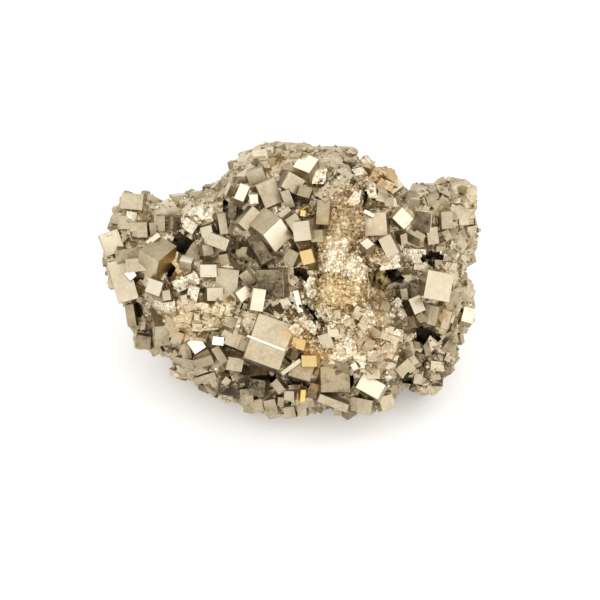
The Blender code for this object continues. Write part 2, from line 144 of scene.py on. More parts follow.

# Crystals of the display face. A row has the corner nearest the viewer, the far ends of the front
# face's two edges from there and of the edge that runs back from there, each as across and down,
# how far the near corner stands proud of the lump in millimetres, and the crystal's form and finish.
# A finish is one word, or one each for the front and the two sides. The words paint each face
# lighter or darker as light falls on it: painted highlights and painted shade, besides tarnish.
CRYSTALS = [
    # Left wing
    (108, 257, 125.5, 248, 102.5, 235, 106, 257.3, 5.0, "pitted", "pale/dull/dark"),
    (122, 206, 112, 210, 124, 221, 124, 203, 0.6, "notched", "drab"),
    (138, 213, 128, 212.5, 137, 222, 141, 211, 2.5, "pitted", "sparkly"),
    (146, 258, 118, 262, 143.5, 246.5, 147, 260, 2.2, "plain", "dim/dull/dull"),
    (143, 211, 145, 195, 121, 209, 146, 214, 2.0, "terraced", "tan"),
    (152, 199, 146, 197, 154, 214, 156, 197, 2.0, "plain", "tan"),
    (148, 223, 131, 222, 150, 238, 152, 220, 2.5, "notched", "drab/dull/dull"),
    (150, 224, 156.5, 222, 150, 237, 148, 222, 1.5, "plain", "tan"),
    (166, 217, 155, 216, 167, 232, 168, 214, 1.5, "notched", "tan"),
    (160, 262, 139, 253, 182, 249, 157, 282, 5.5, "terraced", "dull/brassy/tan"),
    (150, 246, 164, 240, 146, 243, 151, 249, 3.0, "plain", "bright/tan/tan"),
    (140, 298, 119, 300, 122, 260, 143, 297, 3.2, "ledged", "pale/dull/dull"),
    (127, 302, 121, 303, 110, 262, 129, 300, 2.2, "plain", "tan"),
    (150, 271, 128, 270, 147, 258, 151, 273, 2.6, "terraced", "tan/dull/dull"),
    (132, 281, 139, 275, 126, 274, 131.5, 282.5, 5.2, "plain", "white/pale/dim"),
    (134, 304, 125, 303.5, 141, 325, 138, 301.5, 1.5, "pitted", "dim/dark/dull"),
    (165, 283, 151, 277, 161.5, 297, 168, 281.5, 4.0, "plain", "bright/tan/tan"),
    (156, 327, 172, 326, 147, 298, 155, 348, 3.5, "ledged", "dim/dim/tan"),
    (152, 337, 137, 334, 151, 350, 157, 334, 1.5, "plain", "dim"),
    (154, 339, 160, 337, 155, 349, 151, 337, 2.0, "plain", "tan"),
    (171, 290, 163, 291, 172.5, 300, 173, 288, 3.0, "plain", "pale"),
    (184, 276, 173, 283, 190, 288, 183, 272, 2.5, "notched", "sugary"),
    (176, 301, 163, 303, 178, 313, 178, 298, 2.5, "notched", "sugary"),
    (174, 230, 174, 217, 169.5, 230.5, 182, 230.5, 1.5, "plain", "pale/dark/dark"),
    (199, 226, 188, 216.5, 194, 236, 203, 226, 3.0, "notched", "sparkly/dull/dull"),
    (218, 215, 226, 213, 219.5, 236, 215, 213, 3.0, "plain", "tan/dull/dull"),
    (212, 226, 201, 230, 214, 243, 215, 224, 3.0, "notched", "pale/dull/tan"),
    (198, 194, 208, 195.5, 194, 198, 197.5, 190, 3.0, "plain", "bright/pale/tan"),
    (172, 196.5, 188, 193.5, 172, 211, 169, 194, 2.0, "plain", "pale/dull/tan"),
    (230.5, 240.5, 212, 232, 227, 252, 234, 240, 4.0, "terraced", "pale/dull/tan"),
    (203, 246, 213, 243, 204, 257, 199, 245, 3.0, "plain", "dull"),
    (228, 254, 219, 256, 230, 264, 229, 251, 2.5, "plain", "tan"),
    (197, 272, 185, 276, 202, 282, 198, 269, 2.0, "pitted", "sugary"),
    (201, 288, 190, 286, 196, 304, 204, 286, 2.5, "notched", "sugary/dull/tan"),
    (217.5, 265, 201, 265.5, 217.5, 277.5, 220, 263, 4.0, "pitted", "bright/dull/tan"),
    (192.5, 264, 180, 264.5, 199, 259.5, 192, 274, 3.5, "plain", "white/tan/tan"),
    (208, 288, 224, 287, 208, 301, 203, 288.5, 3.0, "ledged", "pale/dull/dull"),
    (240, 271, 218, 266, 240, 306, 244, 268, 3.0, "terraced", "tan/dull/pale"),
    # Left shoulder of the dome
    (213, 186, 202, 187, 214.5, 196, 216, 183, 1.5, "plain", "dull"),
    (214, 188, 222, 199, 220, 178, 210, 188.5, 2.5, "plain", "tan"),
    (231, 186, 238, 188, 226, 197, 229, 182, 3.0, "plain", "pale"),
    (244, 203, 234.5, 199.5, 251, 188, 242.5, 209.5, 5.0, "plain", "white/tan/tan"),
    (258, 195.5, 249.5, 196, 259, 205, 260, 193, 5.0, "plain", "white/dull/dull"),
    (256, 187, 274, 178.5, 266, 210, 250, 188, 5.0, "terraced", "tan/dull/tan"),
    (309, 200, 296, 198, 314.5, 190, 309, 213, 4.0, "plain", "dull/dark/dark"),
    (328, 226, 316, 222, 323, 202, 331, 228, 4.4, "plain", "dull/tan/dull"),
    (281, 188, 289, 172.5, 297, 197.5, 276, 187, 4.5, "plain", "tan/dull/dark"),
    (289, 190.5, 280, 192.5, 297, 207, 291, 187, 4.0, "plain", "tan/dark/dull"),
    (309, 174.5, 292, 169, 320, 161, 310.5, 186, 4.5, "notched", "white/pale/bright"),
    (339, 156.5, 331.5, 153.5, 335.5, 166, 342, 155, 3.5, "plain", "white/dull/dull"),
    (352, 163, 342, 158, 350.5, 172, 357, 161, 1.5, "plain", "dark"),
    (366, 167, 357, 161, 375, 163, 367, 173, 1.5, "plain", "sugary"),
    # Top of the dome and the grey band behind it
    (270, 151, 257, 152, 270, 167, 273, 149, 2.5, "plain", "tan"),
    (262, 168, 245, 174, 268, 180, 264, 164, 3.0, "terraced", "pale/dull/dull"),
    (250, 151.5, 238, 155, 252, 161, 252, 149, 1.0, "notched", "dull"),
    (236, 161, 227, 162, 238, 168, 238, 159, 1.0, "plain", "dull"),
    (276, 160, 270, 159, 277, 178, 279, 158, 2.5, "plain", "dull"),
    (273, 145, 256, 146, 274, 154, 277, 143, 0.5, "notched", "tan"),
    (308, 149, 276, 148, 310, 160, 312, 146, 0.5, "ledged", "dull"),
    (343, 152, 311, 150, 345, 163, 347, 150, 0.3, "notched", "light"),
    (396, 180, 382, 176, 397, 193, 399, 178, 1.0, "notched", "sugary"),
    (378, 172, 364, 167, 377, 184, 382, 170, 1.0, "notched", "sugary"),
    # Upper right
    (325, 203, 313, 199, 352, 184, 331, 216, 5.2, "notched", "pale/sugary/tan"),
    (343, 188, 328, 184, 357, 180, 344, 196, 4.2, "plain", "pale/tan/tan"),
    (366, 200, 362, 185, 377, 200, 364, 204, 2.0, "plain", "sugary/dark/dull"),
    (378, 192, 388, 194, 374, 201, 376, 188, 4.5, "plain", "bright/dull/tan"),
    (397, 197, 380, 204, 404, 208, 399, 193, 3.0, "terraced", "dull"),
    (385, 214, 362, 214.5, 387, 236, 390, 210, 6.0, "terraced", "light/tan/white"),
    (389, 235, 376, 237, 403, 250, 391, 232.5, 5.0, "ledged", "pale/dull/tan"),
    (389.5, 246.5, 386, 246, 389, 250, 391, 245.5, 4.5, "plain", "yellow"),
    # A near-white sliver that stands for a highlight stripe: painted highlight.
    (372, 218.5, 362.5, 213.5, 373.5, 215.5, 371, 220, 6.9, "plain", "white"),
    (305, 218, 300, 217, 306, 212, 303, 219, 4.0, "plain", "gold"),
    (391, 219, 400, 208, 402, 231, 387, 219, 6.0, "pitted", "bright/dark/dull"),
    # Its sides are painted white: a painted highlight beside its dark front.
    (431, 213, 414, 210, 430, 234, 435, 209.5, 3.0, "plain", "dark/white/white"),
    (411, 196, 422, 194, 412, 206, 409, 194, 4.0, "plain", "pale"),
    (425, 198, 437, 193, 427, 207, 421, 196, 2.0, "notched", "dull"),
    (431, 194, 425, 190, 437, 190, 431, 198, 1.0, "plain", "dull"),
    (404, 194, 398, 190, 409, 190, 404, 198, 1.0, "plain", "dull"),
    (440, 213, 451, 212, 441, 230, 436, 210, 3.0, "terraced", "tan"),
    (464, 190, 448, 189, 467, 180, 468, 203, 1.0, "terraced", "dull"),
    (475, 188, 463, 186, 474, 208, 478, 186, 0.5, "notched", "drab"),
    (446, 191, 438, 187, 443, 204, 449, 188.5, 1.0, "notched", "drab"),
    (452, 231, 441, 232, 455, 246, 455, 228, 1.5, "notched", "sparkly/dull/tan"),
    (466, 233, 456, 231, 463, 248, 469, 231, 1.0, "notched", "drab"),
    (462, 251, 449, 248.5, 458, 263, 465, 249, 1.0, "notched", "drab"),
    (458, 210, 474, 208, 457, 226, 455, 208, 0.8, "notched", "drab/dull/tan"),
    (425, 229, 436, 227, 427, 246, 422, 227, 1.5, "plain", "tan/dull/dull"),
    (419, 240, 405, 235, 425, 236, 418, 248, 4.0, "notched", "tan/white/pale"),
    (399, 236, 405, 232, 398, 247, 394, 233, 2.5, "plain", "tan/dark/dull"),
    # Middle of the dome, with the keystone cube on its edge
    (264, 236.5, 245, 227, 283, 221.5, 276, 253.5, 7.5, "terraced", "tan/white/dull"),
    (281, 219, 291, 211, 278, 215, 284, 224, 5.0, "plain", "pale/tan/tan"),
    (285, 221, 294, 212, 291.5, 238, 283, 217, 4.5, "plain", "tan/dull/dull"),
    (263, 265, 246, 240, 274, 259, 262, 270, 4.0, "plain", "dark/dark/dark"),
    (239, 224, 254.5, 207.5, 248, 231.5, 234, 224, 6.5, "plain", "tan/tan/dull"),
    (238, 203, 231, 199, 243, 219, 240, 200, 3.0, "plain", "dark"),
    (308.5, 221.5, 291.5, 223.5, 311, 241, 316, 218.5, 5.5, "plain", "bright/tan/tan"),
    (322, 231, 310.5, 230.5, 323, 243, 326, 229, 5.0, "plain", "tan"),
    (311, 249.5, 299, 252.5, 315, 263, 313, 246, 4.0, "plain", "gold"),
    (299, 254, 290, 245, 296, 269, 305, 254, 2.0, "plain", "tan/dull/dull"),
    (283, 270, 257, 269, 286, 299, 289, 267, 4.0, "terraced", "dark/tan/dull"),
    (247, 270, 239, 276, 257, 282, 248, 266, 3.0, "plain", "tan/bright/dull"),
    (236, 293, 246, 286, 242.5, 302.5, 233, 292.5, 4.0, "plain", "bright/tan/tan"),
    (254, 288, 267, 290, 250.5, 310, 251, 285.5, 5.5, "plain", "bright/dull/tan"),
    (298, 290, 293, 291.5, 302, 312, 300, 288, 4.0, "plain", "white/tan/dull"),
    # Large stepped cube and the crystals to its left
    (244, 357, 279, 371, 258, 312, 239, 360, 6.3, "ledged", "tan/dull/dark"),
    # A thin white slip along the step of the cube above: a painted highlight line.
    (284.5, 350.5, 247, 337.8, 285.2, 348.9, 282.1, 351.9, 3.62, "plain", "white/white/white"),
    (224, 343, 246, 354, 230, 322, 219, 345, 2.5, "terraced", "tan/dull/dark"),
    (196, 354, 207.5, 347, 187.5, 342.5, 197, 356, 4.0, "plain", "white/dull/tan"),
    (209, 349, 197, 356, 212, 354, 208, 345, 2.4, "plain", "tan"),
    (212, 354.5, 194, 358.5, 216, 363, 214, 350, 4.5, "plain", "dull"),
    (213, 344, 224, 341.5, 216.5, 336.5, 212, 345.5, 4.5, "plain", "white/dull/dull"),
    (219, 345, 229, 360, 212, 349, 221, 341, 3.5, "ledged", "dull"),
    (229, 356, 245, 358, 226, 369, 226, 352, 3.0, "plain", "tan"),
    (241, 375, 240, 367, 268, 374, 239, 383, 2.5, "plain", "dark"),
    (240, 397, 217, 391, 243, 376, 243, 399, 3.4, "plain", "dark/dull/dark"),
    (207, 388, 197, 384, 212, 381, 208, 394, 1.0, "plain", "dark"),
    (215, 371.5, 193, 376.5, 218, 378.5, 217, 368, 2.0, "plain", "dull"),
    (173, 370.5, 191, 367.5, 174, 377.5, 169, 368, 2.5, "pitted", "bright/pale/tan"),
    (196, 360, 176, 356, 195, 368, 199, 358, 2.0, "notched", "dull"),
    (181, 344, 190, 342, 184, 360, 178, 342, 2.5, "plain", "tan"),
    # Foot of the dome
    (285, 388, 280, 395, 279, 376, 296, 386, 5.0, "plain", "tan"),
    (294, 390.5, 284, 389.5, 294.5, 400, 297, 389, 3.5, "plain", "tan"),
    (294, 406, 283, 406.5, 296.5, 417, 298, 403, 2.0, "plain", "tan"),
    (266, 380, 251, 374, 268, 397, 271, 377, 3.0, "plain", "dark"),
    (240, 389, 253, 387, 241, 405, 236, 386, 2.0, "plain", "dull"),
    (275, 398, 263, 400, 279, 413, 277, 395, 2.0, "plain", "dull"),
    (262, 398, 249, 400, 265, 411, 264, 395, 1.0, "plain", "dull"),
    (284, 397, 278, 396, 284, 406, 286, 395, 2.0, "plain", "dull"),
    (310, 381, 287, 380, 318, 366.5, 309, 384, 4.5, "plain", "dull/dark/dark"),
    (283, 375, 304, 364, 280, 372, 282, 377, 5.2, "plain", "pale/dull/dull"),
    (316, 355, 301, 353, 318, 366, 320, 352, 4.0, "plain", "gold"),
    (321, 391.5, 350, 391, 320, 366, 316, 395, 5.5, "ledged", "dull/dull/dull"),
    (320, 393, 350, 400, 316, 400, 321, 389, 6.0, "ledged", "tan"),
    (377, 398.5, 354, 388.5, 386, 385, 379, 402, 6.5, "terraced", "bright/pale/tan"),
    (358, 367, 355, 361, 353, 370.5, 361, 366, 4.0, "plain", "white/pale/dark"),
    (372, 400, 351, 395, 370, 415, 376, 398, 3.0, "notched", "tan"),
    (378, 397, 391, 391, 380, 411, 374, 398, 2.0, "plain", "tan"),
    (341, 406, 333, 406, 342, 415, 343, 404, 2.0, "plain", "dull"),
    (322, 409, 308, 405, 328, 404, 321, 414, 1.0, "plain", "dull"),
    (306, 404, 297, 403.5, 307, 416, 309, 402, 1.0, "plain", "tan"),
    (301, 389, 306, 389, 299.5, 401, 299, 387, 3.0, "plain", "yellow"),
    (319, 384, 309, 381.5, 316, 399, 322, 382, 1.5, "plain", "dark"),
    # Right wing
    (422, 298, 447, 303.5, 426, 270, 416, 296.5, 6.0, "terraced", "pale/white/dull"),
    (407, 299.5, 418, 294, 413, 315, 400, 302, 5.0, "plain", "bright/black/tan"),
    (415, 327, 398, 330, 412, 316, 422, 330, 3.0, "plain", "dull/pale/dark"),
    (419, 313, 414, 316, 424, 320.5, 420, 310, 4.0, "plain", "dark/pale/tan"),
    (406, 288.5, 399, 289.5, 407, 299.5, 409, 287, 4.0, "plain", "tan/dark/dull"),
    # A dark block set where its neighbour's side lies in shade: painted shade.
    (418, 280, 416.5, 297, 409, 283, 421, 279, 2.0, "plain", "dark"),
    (460, 320.5, 471, 324.5, 462.5, 306, 457, 324.5, 3.5, "pitted", "bright/dull/dull"),
    (460, 334, 453, 335, 461, 345, 463, 331, 1.0, "plain", "dull"),
    (450, 331, 441, 336, 455, 341, 451, 327, 2.5, "plain", "tan/tan/dull"),
    (450, 364, 437, 375, 455, 370, 449, 360, 2.0, "terraced", "tan"),
    (444, 354.5, 453, 346, 448.5, 362, 440, 353, 2.5, "plain", "dull/dull/dark"),
    (440, 349, 450, 341, 446, 352, 437, 347, 3.0, "plain", "dark"),
    (434, 353, 429, 356, 444, 366, 436, 349, 2.0, "plain", "dark"),
    (421, 340, 427, 338, 424, 357, 419, 337, 2.0, "plain", "dark"),
    (394, 369, 402, 379.5, 406, 357, 390.5, 370, 3.5, "terraced", "tan/dull/dull"),
    (436, 382, 420, 379, 433, 395, 440, 379, 1.0, "notched", "tan"),
    (438, 307, 425, 303.5, 434, 326, 442, 305, 2.5, "notched", "tan/dull/dull"),
    (451, 312, 440, 308, 447, 330, 454, 310, 2.0, "notched", "drab"),
    # Granular ridge
    (329, 332, 317, 336, 334, 346, 331, 328, 4.0, "notched", "pale/dull/tan"),
    (305, 315, 296, 320, 312, 326, 307, 312, 3.0, "notched", "sparkly"),
    (318, 322, 309, 318, 317, 334, 321, 320, 3.0, "notched", "sparkly/dull/tan"),
    (306, 340, 293, 337, 303, 350, 309, 338, 3.0, "notched", "gold"),
    (296, 322, 289, 329, 303, 331, 295, 318, 3.0, "pitted", "sparkly"),
    (352, 352, 366, 349, 356, 369, 349, 350, 3.0, "notched", "sugary"),
    (354, 335, 337, 338, 356, 352, 357, 333, 3.0, "notched", "sugary/tan/gold"),
    (389, 341, 371, 336, 394, 327, 391, 345, 4.0, "notched", "pale/tan/dull"),
    (391, 359, 378, 353, 396, 345, 393, 363, 3.6, "notched", "pale/tan/dull"),
    (371, 373, 361, 362, 381, 361, 371, 378, 3.2, "notched", "drab/tan/dull"),
    (366, 250, 357, 246, 375, 247, 367, 262, 4.5, "plain", "white/tan/pale"),
    (398, 254, 378, 258, 400, 268, 402, 252, 2.5, "terraced", "sugary/dull/tan"),
    (425, 250, 402, 249, 424, 264, 429, 247, 2.5, "notched", "sugary/dull/tan"),
]

# Broad hollows (minus) and swells: middle across and down, reach, and height in millimetres.
SWELLS = [
    (205, 248, 26, -3.5), (243, 258, 18, -3.5), (168, 232, 18, -1.5), (400, 285, 20, -3.5),
    (418, 345, 24, -3.5), (262, 388, 30, -3.0), (135, 315, 16, -2.5), (300, 300, 14, -2.0),
    (300, 200, 40, 3.0), (262, 340, 28, 2.0), (350, 290, 30, 2.0), (368, 388, 26, 2.5),
    (436, 285, 24, 2.0), (132, 268, 28, 2.0), (205, 325, 24, 1.5), (385, 225, 24, 1.5),
]

# Cavities: middle across and down, half width, half height, and depth in millimetres. Their walls are
# painted black: painted shade in the hollows.
CAVITIES = [
    (182, 244, 13, 13, 7.0), (226, 208, 4, 10, 4.0), (243, 254, 15, 14, 9.0),
    (245, 307, 5, 5, 4.0), (288, 308, 9, 9, 6.0), (303, 277, 9, 7, 5.0),
    (138, 313, 7, 13, 4.0), (153, 326, 4, 5, 3.0), (348, 168, 10, 8, 5.0),
    (321, 181, 8, 6, 5.0), (293, 200, 4, 8, 4.0), (363, 199, 4, 7, 4.0),
    (380, 246, 13, 6, 6.0), (374, 278, 4, 12, 4.0), (394, 277, 9, 9, 6.0),
    (431, 260, 10, 8, 5.0), (423, 335, 14, 10, 6.0), (457, 316, 5, 9, 3.0),
    (407, 379, 11, 10, 6.0), (230, 376, 12, 9, 6.0), (272, 377, 7, 8, 5.0),
    (299, 385, 10, 6, 5.0), (200, 368, 9, 5, 4.0), (351, 380, 4, 7, 4.0),
    (292, 355, 8, 8, 5.0), (171, 270, 6, 11, 5.0),
]
CAVITY_FILL = 1.35  # the cutting block's size, which makes up for its odd turn
CAVITY_GRAIN = 0.4

# Masses of granular rock among the crystals: middle across and down, half width, half height,
# height above the skin in millimetres, finish, and share of fine crystals.
MASSES = [
    # Granular ridge, from its top down
    (342, 207, 19, 15, 4.0, "sandy", 1.0), (341, 228, 22, 20, 4.2, "sandy", 1.0),
    # The near-white frosty masses are granular crust, painted light enough to stand for the ridge's
    # highlights: partly painted highlight.
    (335, 244, 17, 12, 3.6, "frosty", 0.7), (333, 261, 14, 15, 5.0, "frosty", 0.7),
    (351, 272, 13, 17, 4.8, "frosty", 0.7), (341, 291, 23, 17, 4.6, "golden", 1.0),
    (331, 309, 15, 12, 3.8, "sugary", 0.8), (352, 315, 22, 12, 4.4, "sparkly", 0.8),
    (377, 314, 14, 15, 3.0, "sandy", 0.9), (311, 284, 9, 17, 2.6, "sugary", 0.8),
    (308, 300, 11, 11, 2.8, "sugary", 0.8), (361, 338, 9, 17, 3.4, "golden", 0.8),
    (342, 331, 24, 12, 3.4, "sugary", 0.8), (380, 342, 17, 20, 3.0, "sugary", 0.7),
    (382, 366, 14, 14, 2.8, "sugary", 0.6), (338, 352, 18, 10, 2.6, "sugary", 0.8),
    (378, 256, 14, 8, 2.4, "sandy", 0.8), (318, 347, 14, 10, 2.6, "golden", 1.0),
    (297, 333, 13, 12, 2.4, "golden", 1.0),
    # Left wing and the shelf below it
    (203, 217, 15, 10, 2.0, "sparkly", 0.8), (208, 309, 30, 10, 1.9, "sandy", 0.4),
    (204, 321, 34, 10, 2.1, "sandy", 0.3), (194, 333, 22, 9, 1.9, "sandy", 0.5),
    (178, 316, 12, 10, 1.8, "sandy", 0.6), (134, 226, 13, 10, 0.6, "drab", 0.3),
    (150, 338, 16, 12, 0.6, "drab", 0.2),
    # Band along the top
    (285, 151, 30, 8, 1.2, "drab", 0.15), (330, 154, 28, 8, 1.2, "drab", 0.2),
    (378, 180, 18, 12, 1.6, "sandy", 1.0),
    # Right wing
    (462, 200, 14, 18, 0.8, "drab", 0.3), (464, 233, 12, 22, 0.8, "drab", 0.3),
    (447, 246, 12, 14, 1.0, "sugary", 0.3), (428, 358, 20, 16, 0.8, "drab", 0.2),
    (427, 382, 14, 12, 0.8, "drab", 0.3), (446, 352, 9, 18, 0.6, "drab", 0.3),
]
MASS_DIVISIONS = 4
MASS_POWER = 3.0  # roundness of a mass: 2 is an egg, more is boxier
MASS_DENTS = 0.16  # depth of its dents, of its own size
MASS_DENT_RATE = 2.1  # dents across it
MASS_DRIFT = 9  # so that no two masses are dented alike
MASS_GRIT = 0.0004
MASS_GRIT_PITCH = 0.0013

# Crowds of small crystals: middle across and down, reach, how many, and the finishes they take.
CROWDS = [
    (461, 197, 24, 44, "tan dull pale drab"), (464, 232, 22, 40, "tan dull pale drab"),
    (446, 250, 16, 18, "tan dull sugary"), (430, 362, 30, 64, "tan dull tan dark pale"),
    (449, 340, 18, 26, "tan dull pale"), (425, 384, 16, 20, "tan dull"),
    (150, 336, 18, 24, "tan dull drab"), (128, 216, 20, 34, "tan dull drab"),
    (225, 395, 30, 24, "dull dark tan"), (190, 364, 18, 20, "tan dull"), (262, 158, 20, 18, "tan pale"),
    (345, 332, 26, 30, "sugary pale sandy"), (380, 352, 24, 30, "sugary pale drab"),
    (206, 316, 34, 40, "sandy drab pale tan"), (446, 372, 18, 24, "tan dull drab"),
    (395, 190, 16, 16, "tan pale"), (424, 202, 20, 20, "tan dull pale"),
    (462, 285, 16, 24, "tan drab pale"), (455, 315, 20, 24, "tan drab dull"),
    (275, 402, 34, 34, "tan dull"), (400, 305, 22, 20, "tan dull sugary"),
    (340, 175, 30, 24, "tan dull sugary"), (300, 160, 40, 22, "tan dull"),
]
CROWD_FORMS = ("plain", "plain", "terraced", "notched")
CROWD_SIDE = (0.0013, 0.0030)
CROWD_RISE = (0.0008, 0.0020)
CROWD_SQUASH = (0.6, 1.1)
CROWD_EDGE = 0.965  # crowds keep within this share of the outline
CROWD_GRAIN = 0.12

# Deep clefts between the crystals: middle across and down, length, width, turn in degrees, depth
# below the skin in millimetres, and finish, which paints the walls dark as painted shade in the gap.
CLEFTS = [
    (393, 277, 17, 11, 20, 4.0, "black"), (431, 259, 20, 8, -8, 3.5, "black"),
    (309, 314, 24, 4, 50, 3.0, "dark"), (301, 276, 13, 12, 10, 4.0, "black"),
    (363, 200, 14, 5, 100, 3.0, "dark"), (421, 336, 11, 19, 12, 6.0, "black"),
    (432, 335, 15, 8, 35, 4.0, "dark"), (298, 384, 20, 9, 5, 3.0, "dark"),
    (142, 278, 5, 13, -12, 2.0, "dark"), (405, 378, 16, 9, -50, 3.0, "dark"),
    (377, 284, 16, 20, 8, 2.5, "umber"),
]
CLEFT_GRAIN = 0.3
CLEFT_TOP = 0.012  # how far above the skin a cleft is cut open
CLEFT_TILT = math.radians(8)
# The blocks that a cleft is cut with: place along it and across it, share of its size, and turn.
CLEFT_BLOCKS = ((-0.20, 0.12, 0.72, -17), (0.22, -0.10, 0.66, 21), (0.02, 0.05, 0.80, 4))

# Granular patches: middle across and down, reach, and fine crystals to the square millimetre.
GRAINY = [
    (345, 215, 42, 4.0), (345, 270, 38, 4.0), (330, 325, 36, 3.2), (375, 330, 30, 2.6),
    (375, 300, 30, 3.0), (205, 215, 24, 1.2), (165, 215, 18, 1.0), (190, 275, 18, 1.0),
    (380, 180, 22, 1.8), (440, 240, 34, 1.1), (445, 350, 34, 1.0), (150, 325, 24, 0.8),
    (345, 345, 22, 1.5), (300, 150, 60, 0.8), (200, 320, 34, 0.9), (420, 195, 26, 0.9),
]
GRAIN_EVERYWHERE = 0.45
GRAIN_SIDE = (0.00025, 0.00075)
GRAIN_FLOOR = 0.0009  # no fine crystal sits lower than this
GRAIN_SHADE = (-0.08, 0.25)  # added at random to the tarnish and painted shade under it
GRAIN_TARNISH_AND_SHADE = 0.8  # how much of the tarnish and painted shade under it a fine crystal takes on
GRAIN_SHADE_SEED = 3

# Iron stains: middle across and down, reach, strength, and how golden they are.
STAINS = [
    (342, 292, 30, 0.9, 0.7), (318, 352, 22, 1.0, 0.6), (361, 337, 18, 1.0, 0.1),
    (377, 308, 16, 1.0, 0.15), (298, 333, 22, 1.0, 0.5), (190, 324, 28, 0.5, 0.4),
    (176, 266, 14, 0.6, 0.7), (380, 182, 26, 0.9, 0.45), (335, 250, 26, 0.3, 0.6),
    (305, 258, 12, 0.8, 0.7), (290, 345, 16, 0.9, 0.4), (372, 228, 18, 0.5, 0.3),
    (345, 215, 34, 0.7, 0.45), (312, 385, 18, 0.6, 0.4), (440, 320, 20, 0.3, 0.1),
    (378, 282, 14, 1.0, 0.6), (318, 365, 12, 0.9, 0.5), (345, 240, 60, 0.35, 0.6),
    (375, 340, 40, 0.35, 0.5), (304, 214, 10, 0.9, 0.9), (278, 165, 16, 0.5, 0.6),
]
STAIN_LIFT = 0.001  # height of a stain's middle above the skin
STAIN_EDGE = (0.25, 1.25)  # where a stain starts to fade and where it ends, of its reach


def rest():
    """Leaves edit mode and selects nothing."""
    if bpy.context.mode != "OBJECT":
        bpy.ops.object.mode_set(mode="OBJECT")
    bpy.ops.object.select_all(action="DESELECT")


def take(obj):
    """Selects one object alone and makes it the active one."""
    rest()
    bpy.context.view_layer.objects.active = obj
    obj.select_set(True)
    return obj


def apply_all(obj):
    take(obj)
    for modifier in list(obj.modifiers):
        bpy.ops.object.modifier_apply(modifier=modifier.name)


# ---- The display face and the lump's skin -------------------------------------------------------


def face_to_object():
    """Matrix from the display face's axes (right, up the face, out of it) to the object's."""
    right = (1.0, 0.0, 0.0)
    up = (0.0, math.sin(FACE_LEAN), math.cos(FACE_LEAN))
    out = (0.0, -math.cos(FACE_LEAN), math.sin(FACE_LEAN))
    return Matrix.Translation(FACE_CENTRE) @ Matrix((right, up, out)).transposed().to_4x4()


FACE = face_to_object()


def on_face(across, down):
    """A place on the grid as metres right of the middle of the face and up it."""
    return Vector((across - MIDDLE_ACROSS, MIDDLE_DOWN - down)) * GRID


def outline_radius(place):
    """Distance from the middle of the face to its outline, in the direction of a place on it."""
    angle = math.atan2(place.y, place.x)
    ray = Vector((math.cos(angle), math.sin(angle)))
    corners = [on_face(*corner) for corner in OUTLINE]
    best = 0.0
    for start, end in zip(corners, corners[1:] + corners[:1]):
        side = end - start
        cross = ray.x * side.y - ray.y * side.x
        if abs(cross) < 1e-12:  # the ray runs along this side
            continue
        distance = (start.x * side.y - start.y * side.x) / cross
        part = (start.x * ray.y - start.y * ray.x) / cross
        if distance > 0 and 0 <= part <= 1:
            best = max(best, distance)
    return best


def skin_radius(direction):
    """Distance from the lump's middle to its skin, in a direction in the face's axes."""
    flat = math.hypot(direction.x, direction.y)
    rim = outline_radius(direction) - RIM_INSET
    bulge = FRONT_BULGE if direction.z > 0 else BACK_BULGE
    power = (flat / rim) ** ROUNDNESS + (abs(direction.z) / bulge) ** ROUNDNESS
    return power ** (-1 / ROUNDNESS)


def swell(place):
    """How far the hollows and swells shift the skin out of the face, at a place on it."""
    total = 0.0
    for across, down, reach, height in SWELLS:
        distance = (place - on_face(across, down)).length / (reach * GRID)
        total += height / MILLIMETRES * math.exp(-distance * distance)
    return total


def skin_height(place):
    """How far the lump's skin stands out of the plane of the face at a place on it."""
    rim = outline_radius(place) - RIM_INSET
    inward = max(1 - (place.length / rim) ** ROUNDNESS, 0.0) ** (1 / ROUNDNESS)
    return FRONT_BULGE * inward + swell(place) * inward


def skin_place(direction):
    """The place on the lump's skin in a direction from its middle, in the face's axes."""
    place = direction * skin_radius(direction)
    if direction.z > 0:
        place.z += swell(place.xy) * place.z / FRONT_BULGE
    return place


def ground_height(place):
    """How far the lump's skin, or a granular mass on it, stands out of the plane of the face."""
    height = skin_height(place)
    for across, down, half_across, half_down, proud, _, _ in MASSES:
        middle = on_face(across, down)
        offset = (place - middle) / GRID
        inward = 1 - abs(offset.x / half_across) ** MASS_POWER - abs(offset.y / half_down) ** MASS_POWER
        if inward > 0:
            top = skin_height(middle) + proud / MILLIMETRES * inward ** (1 / MASS_POWER)
            height = max(height, top)
    return height


# ---- Crystals, each form modelled once ----------------------------------------------------------

# A form is a cube one unit each way. Its front face is the one at z = -0.5, and its near corner is
# the one with every coordinate -0.5.
ACROSS = 0  # axes of a form
UP = 1
FACE_PLANE = 0.49  # a face whose middle is farther out than this is one of the cube's own
WORN_ANGLE = math.radians(40)  # edges sharper than this are worn


def add_cube(name):
    rest()
    bpy.ops.mesh.primitive_cube_add(size=1.0)
    cube = bpy.context.active_object
    cube.name = name
    bpy.ops.object.mode_set(mode="EDIT")
    return cube


def score(axis, places):
    """Cuts lines round the whole crystal across an axis."""
    normal = [float(index == axis) for index in range(3)]
    for place in places:
        bpy.ops.mesh.select_all(action="SELECT")
        bpy.ops.mesh.bisect(plane_co=[place * part for part in normal], plane_no=normal)


def raise_faces(cube, wanted, move):
    """Moves the faces whose middle passes the test, with new sides behind them."""
    bpy.ops.mesh.select_all(action="DESELECT")
    shape = bmesh.from_edit_mesh(cube.data)
    for face in shape.faces:
        face.select_set(wanted(face.calc_center_median()))
    bmesh.update_edit_mesh(cube.data)
    bpy.ops.mesh.extrude_region_move(TRANSFORM_OT_translate={"value": move})


def front_part(across, up):
    """Test for faces of the front whose middle lies between two places each way."""

    def wanted(middle):
        inside = across[0] < middle.x < across[1] and up[0] < middle.y < up[1]
        return inside and middle.z < -FACE_PLANE

    return wanted


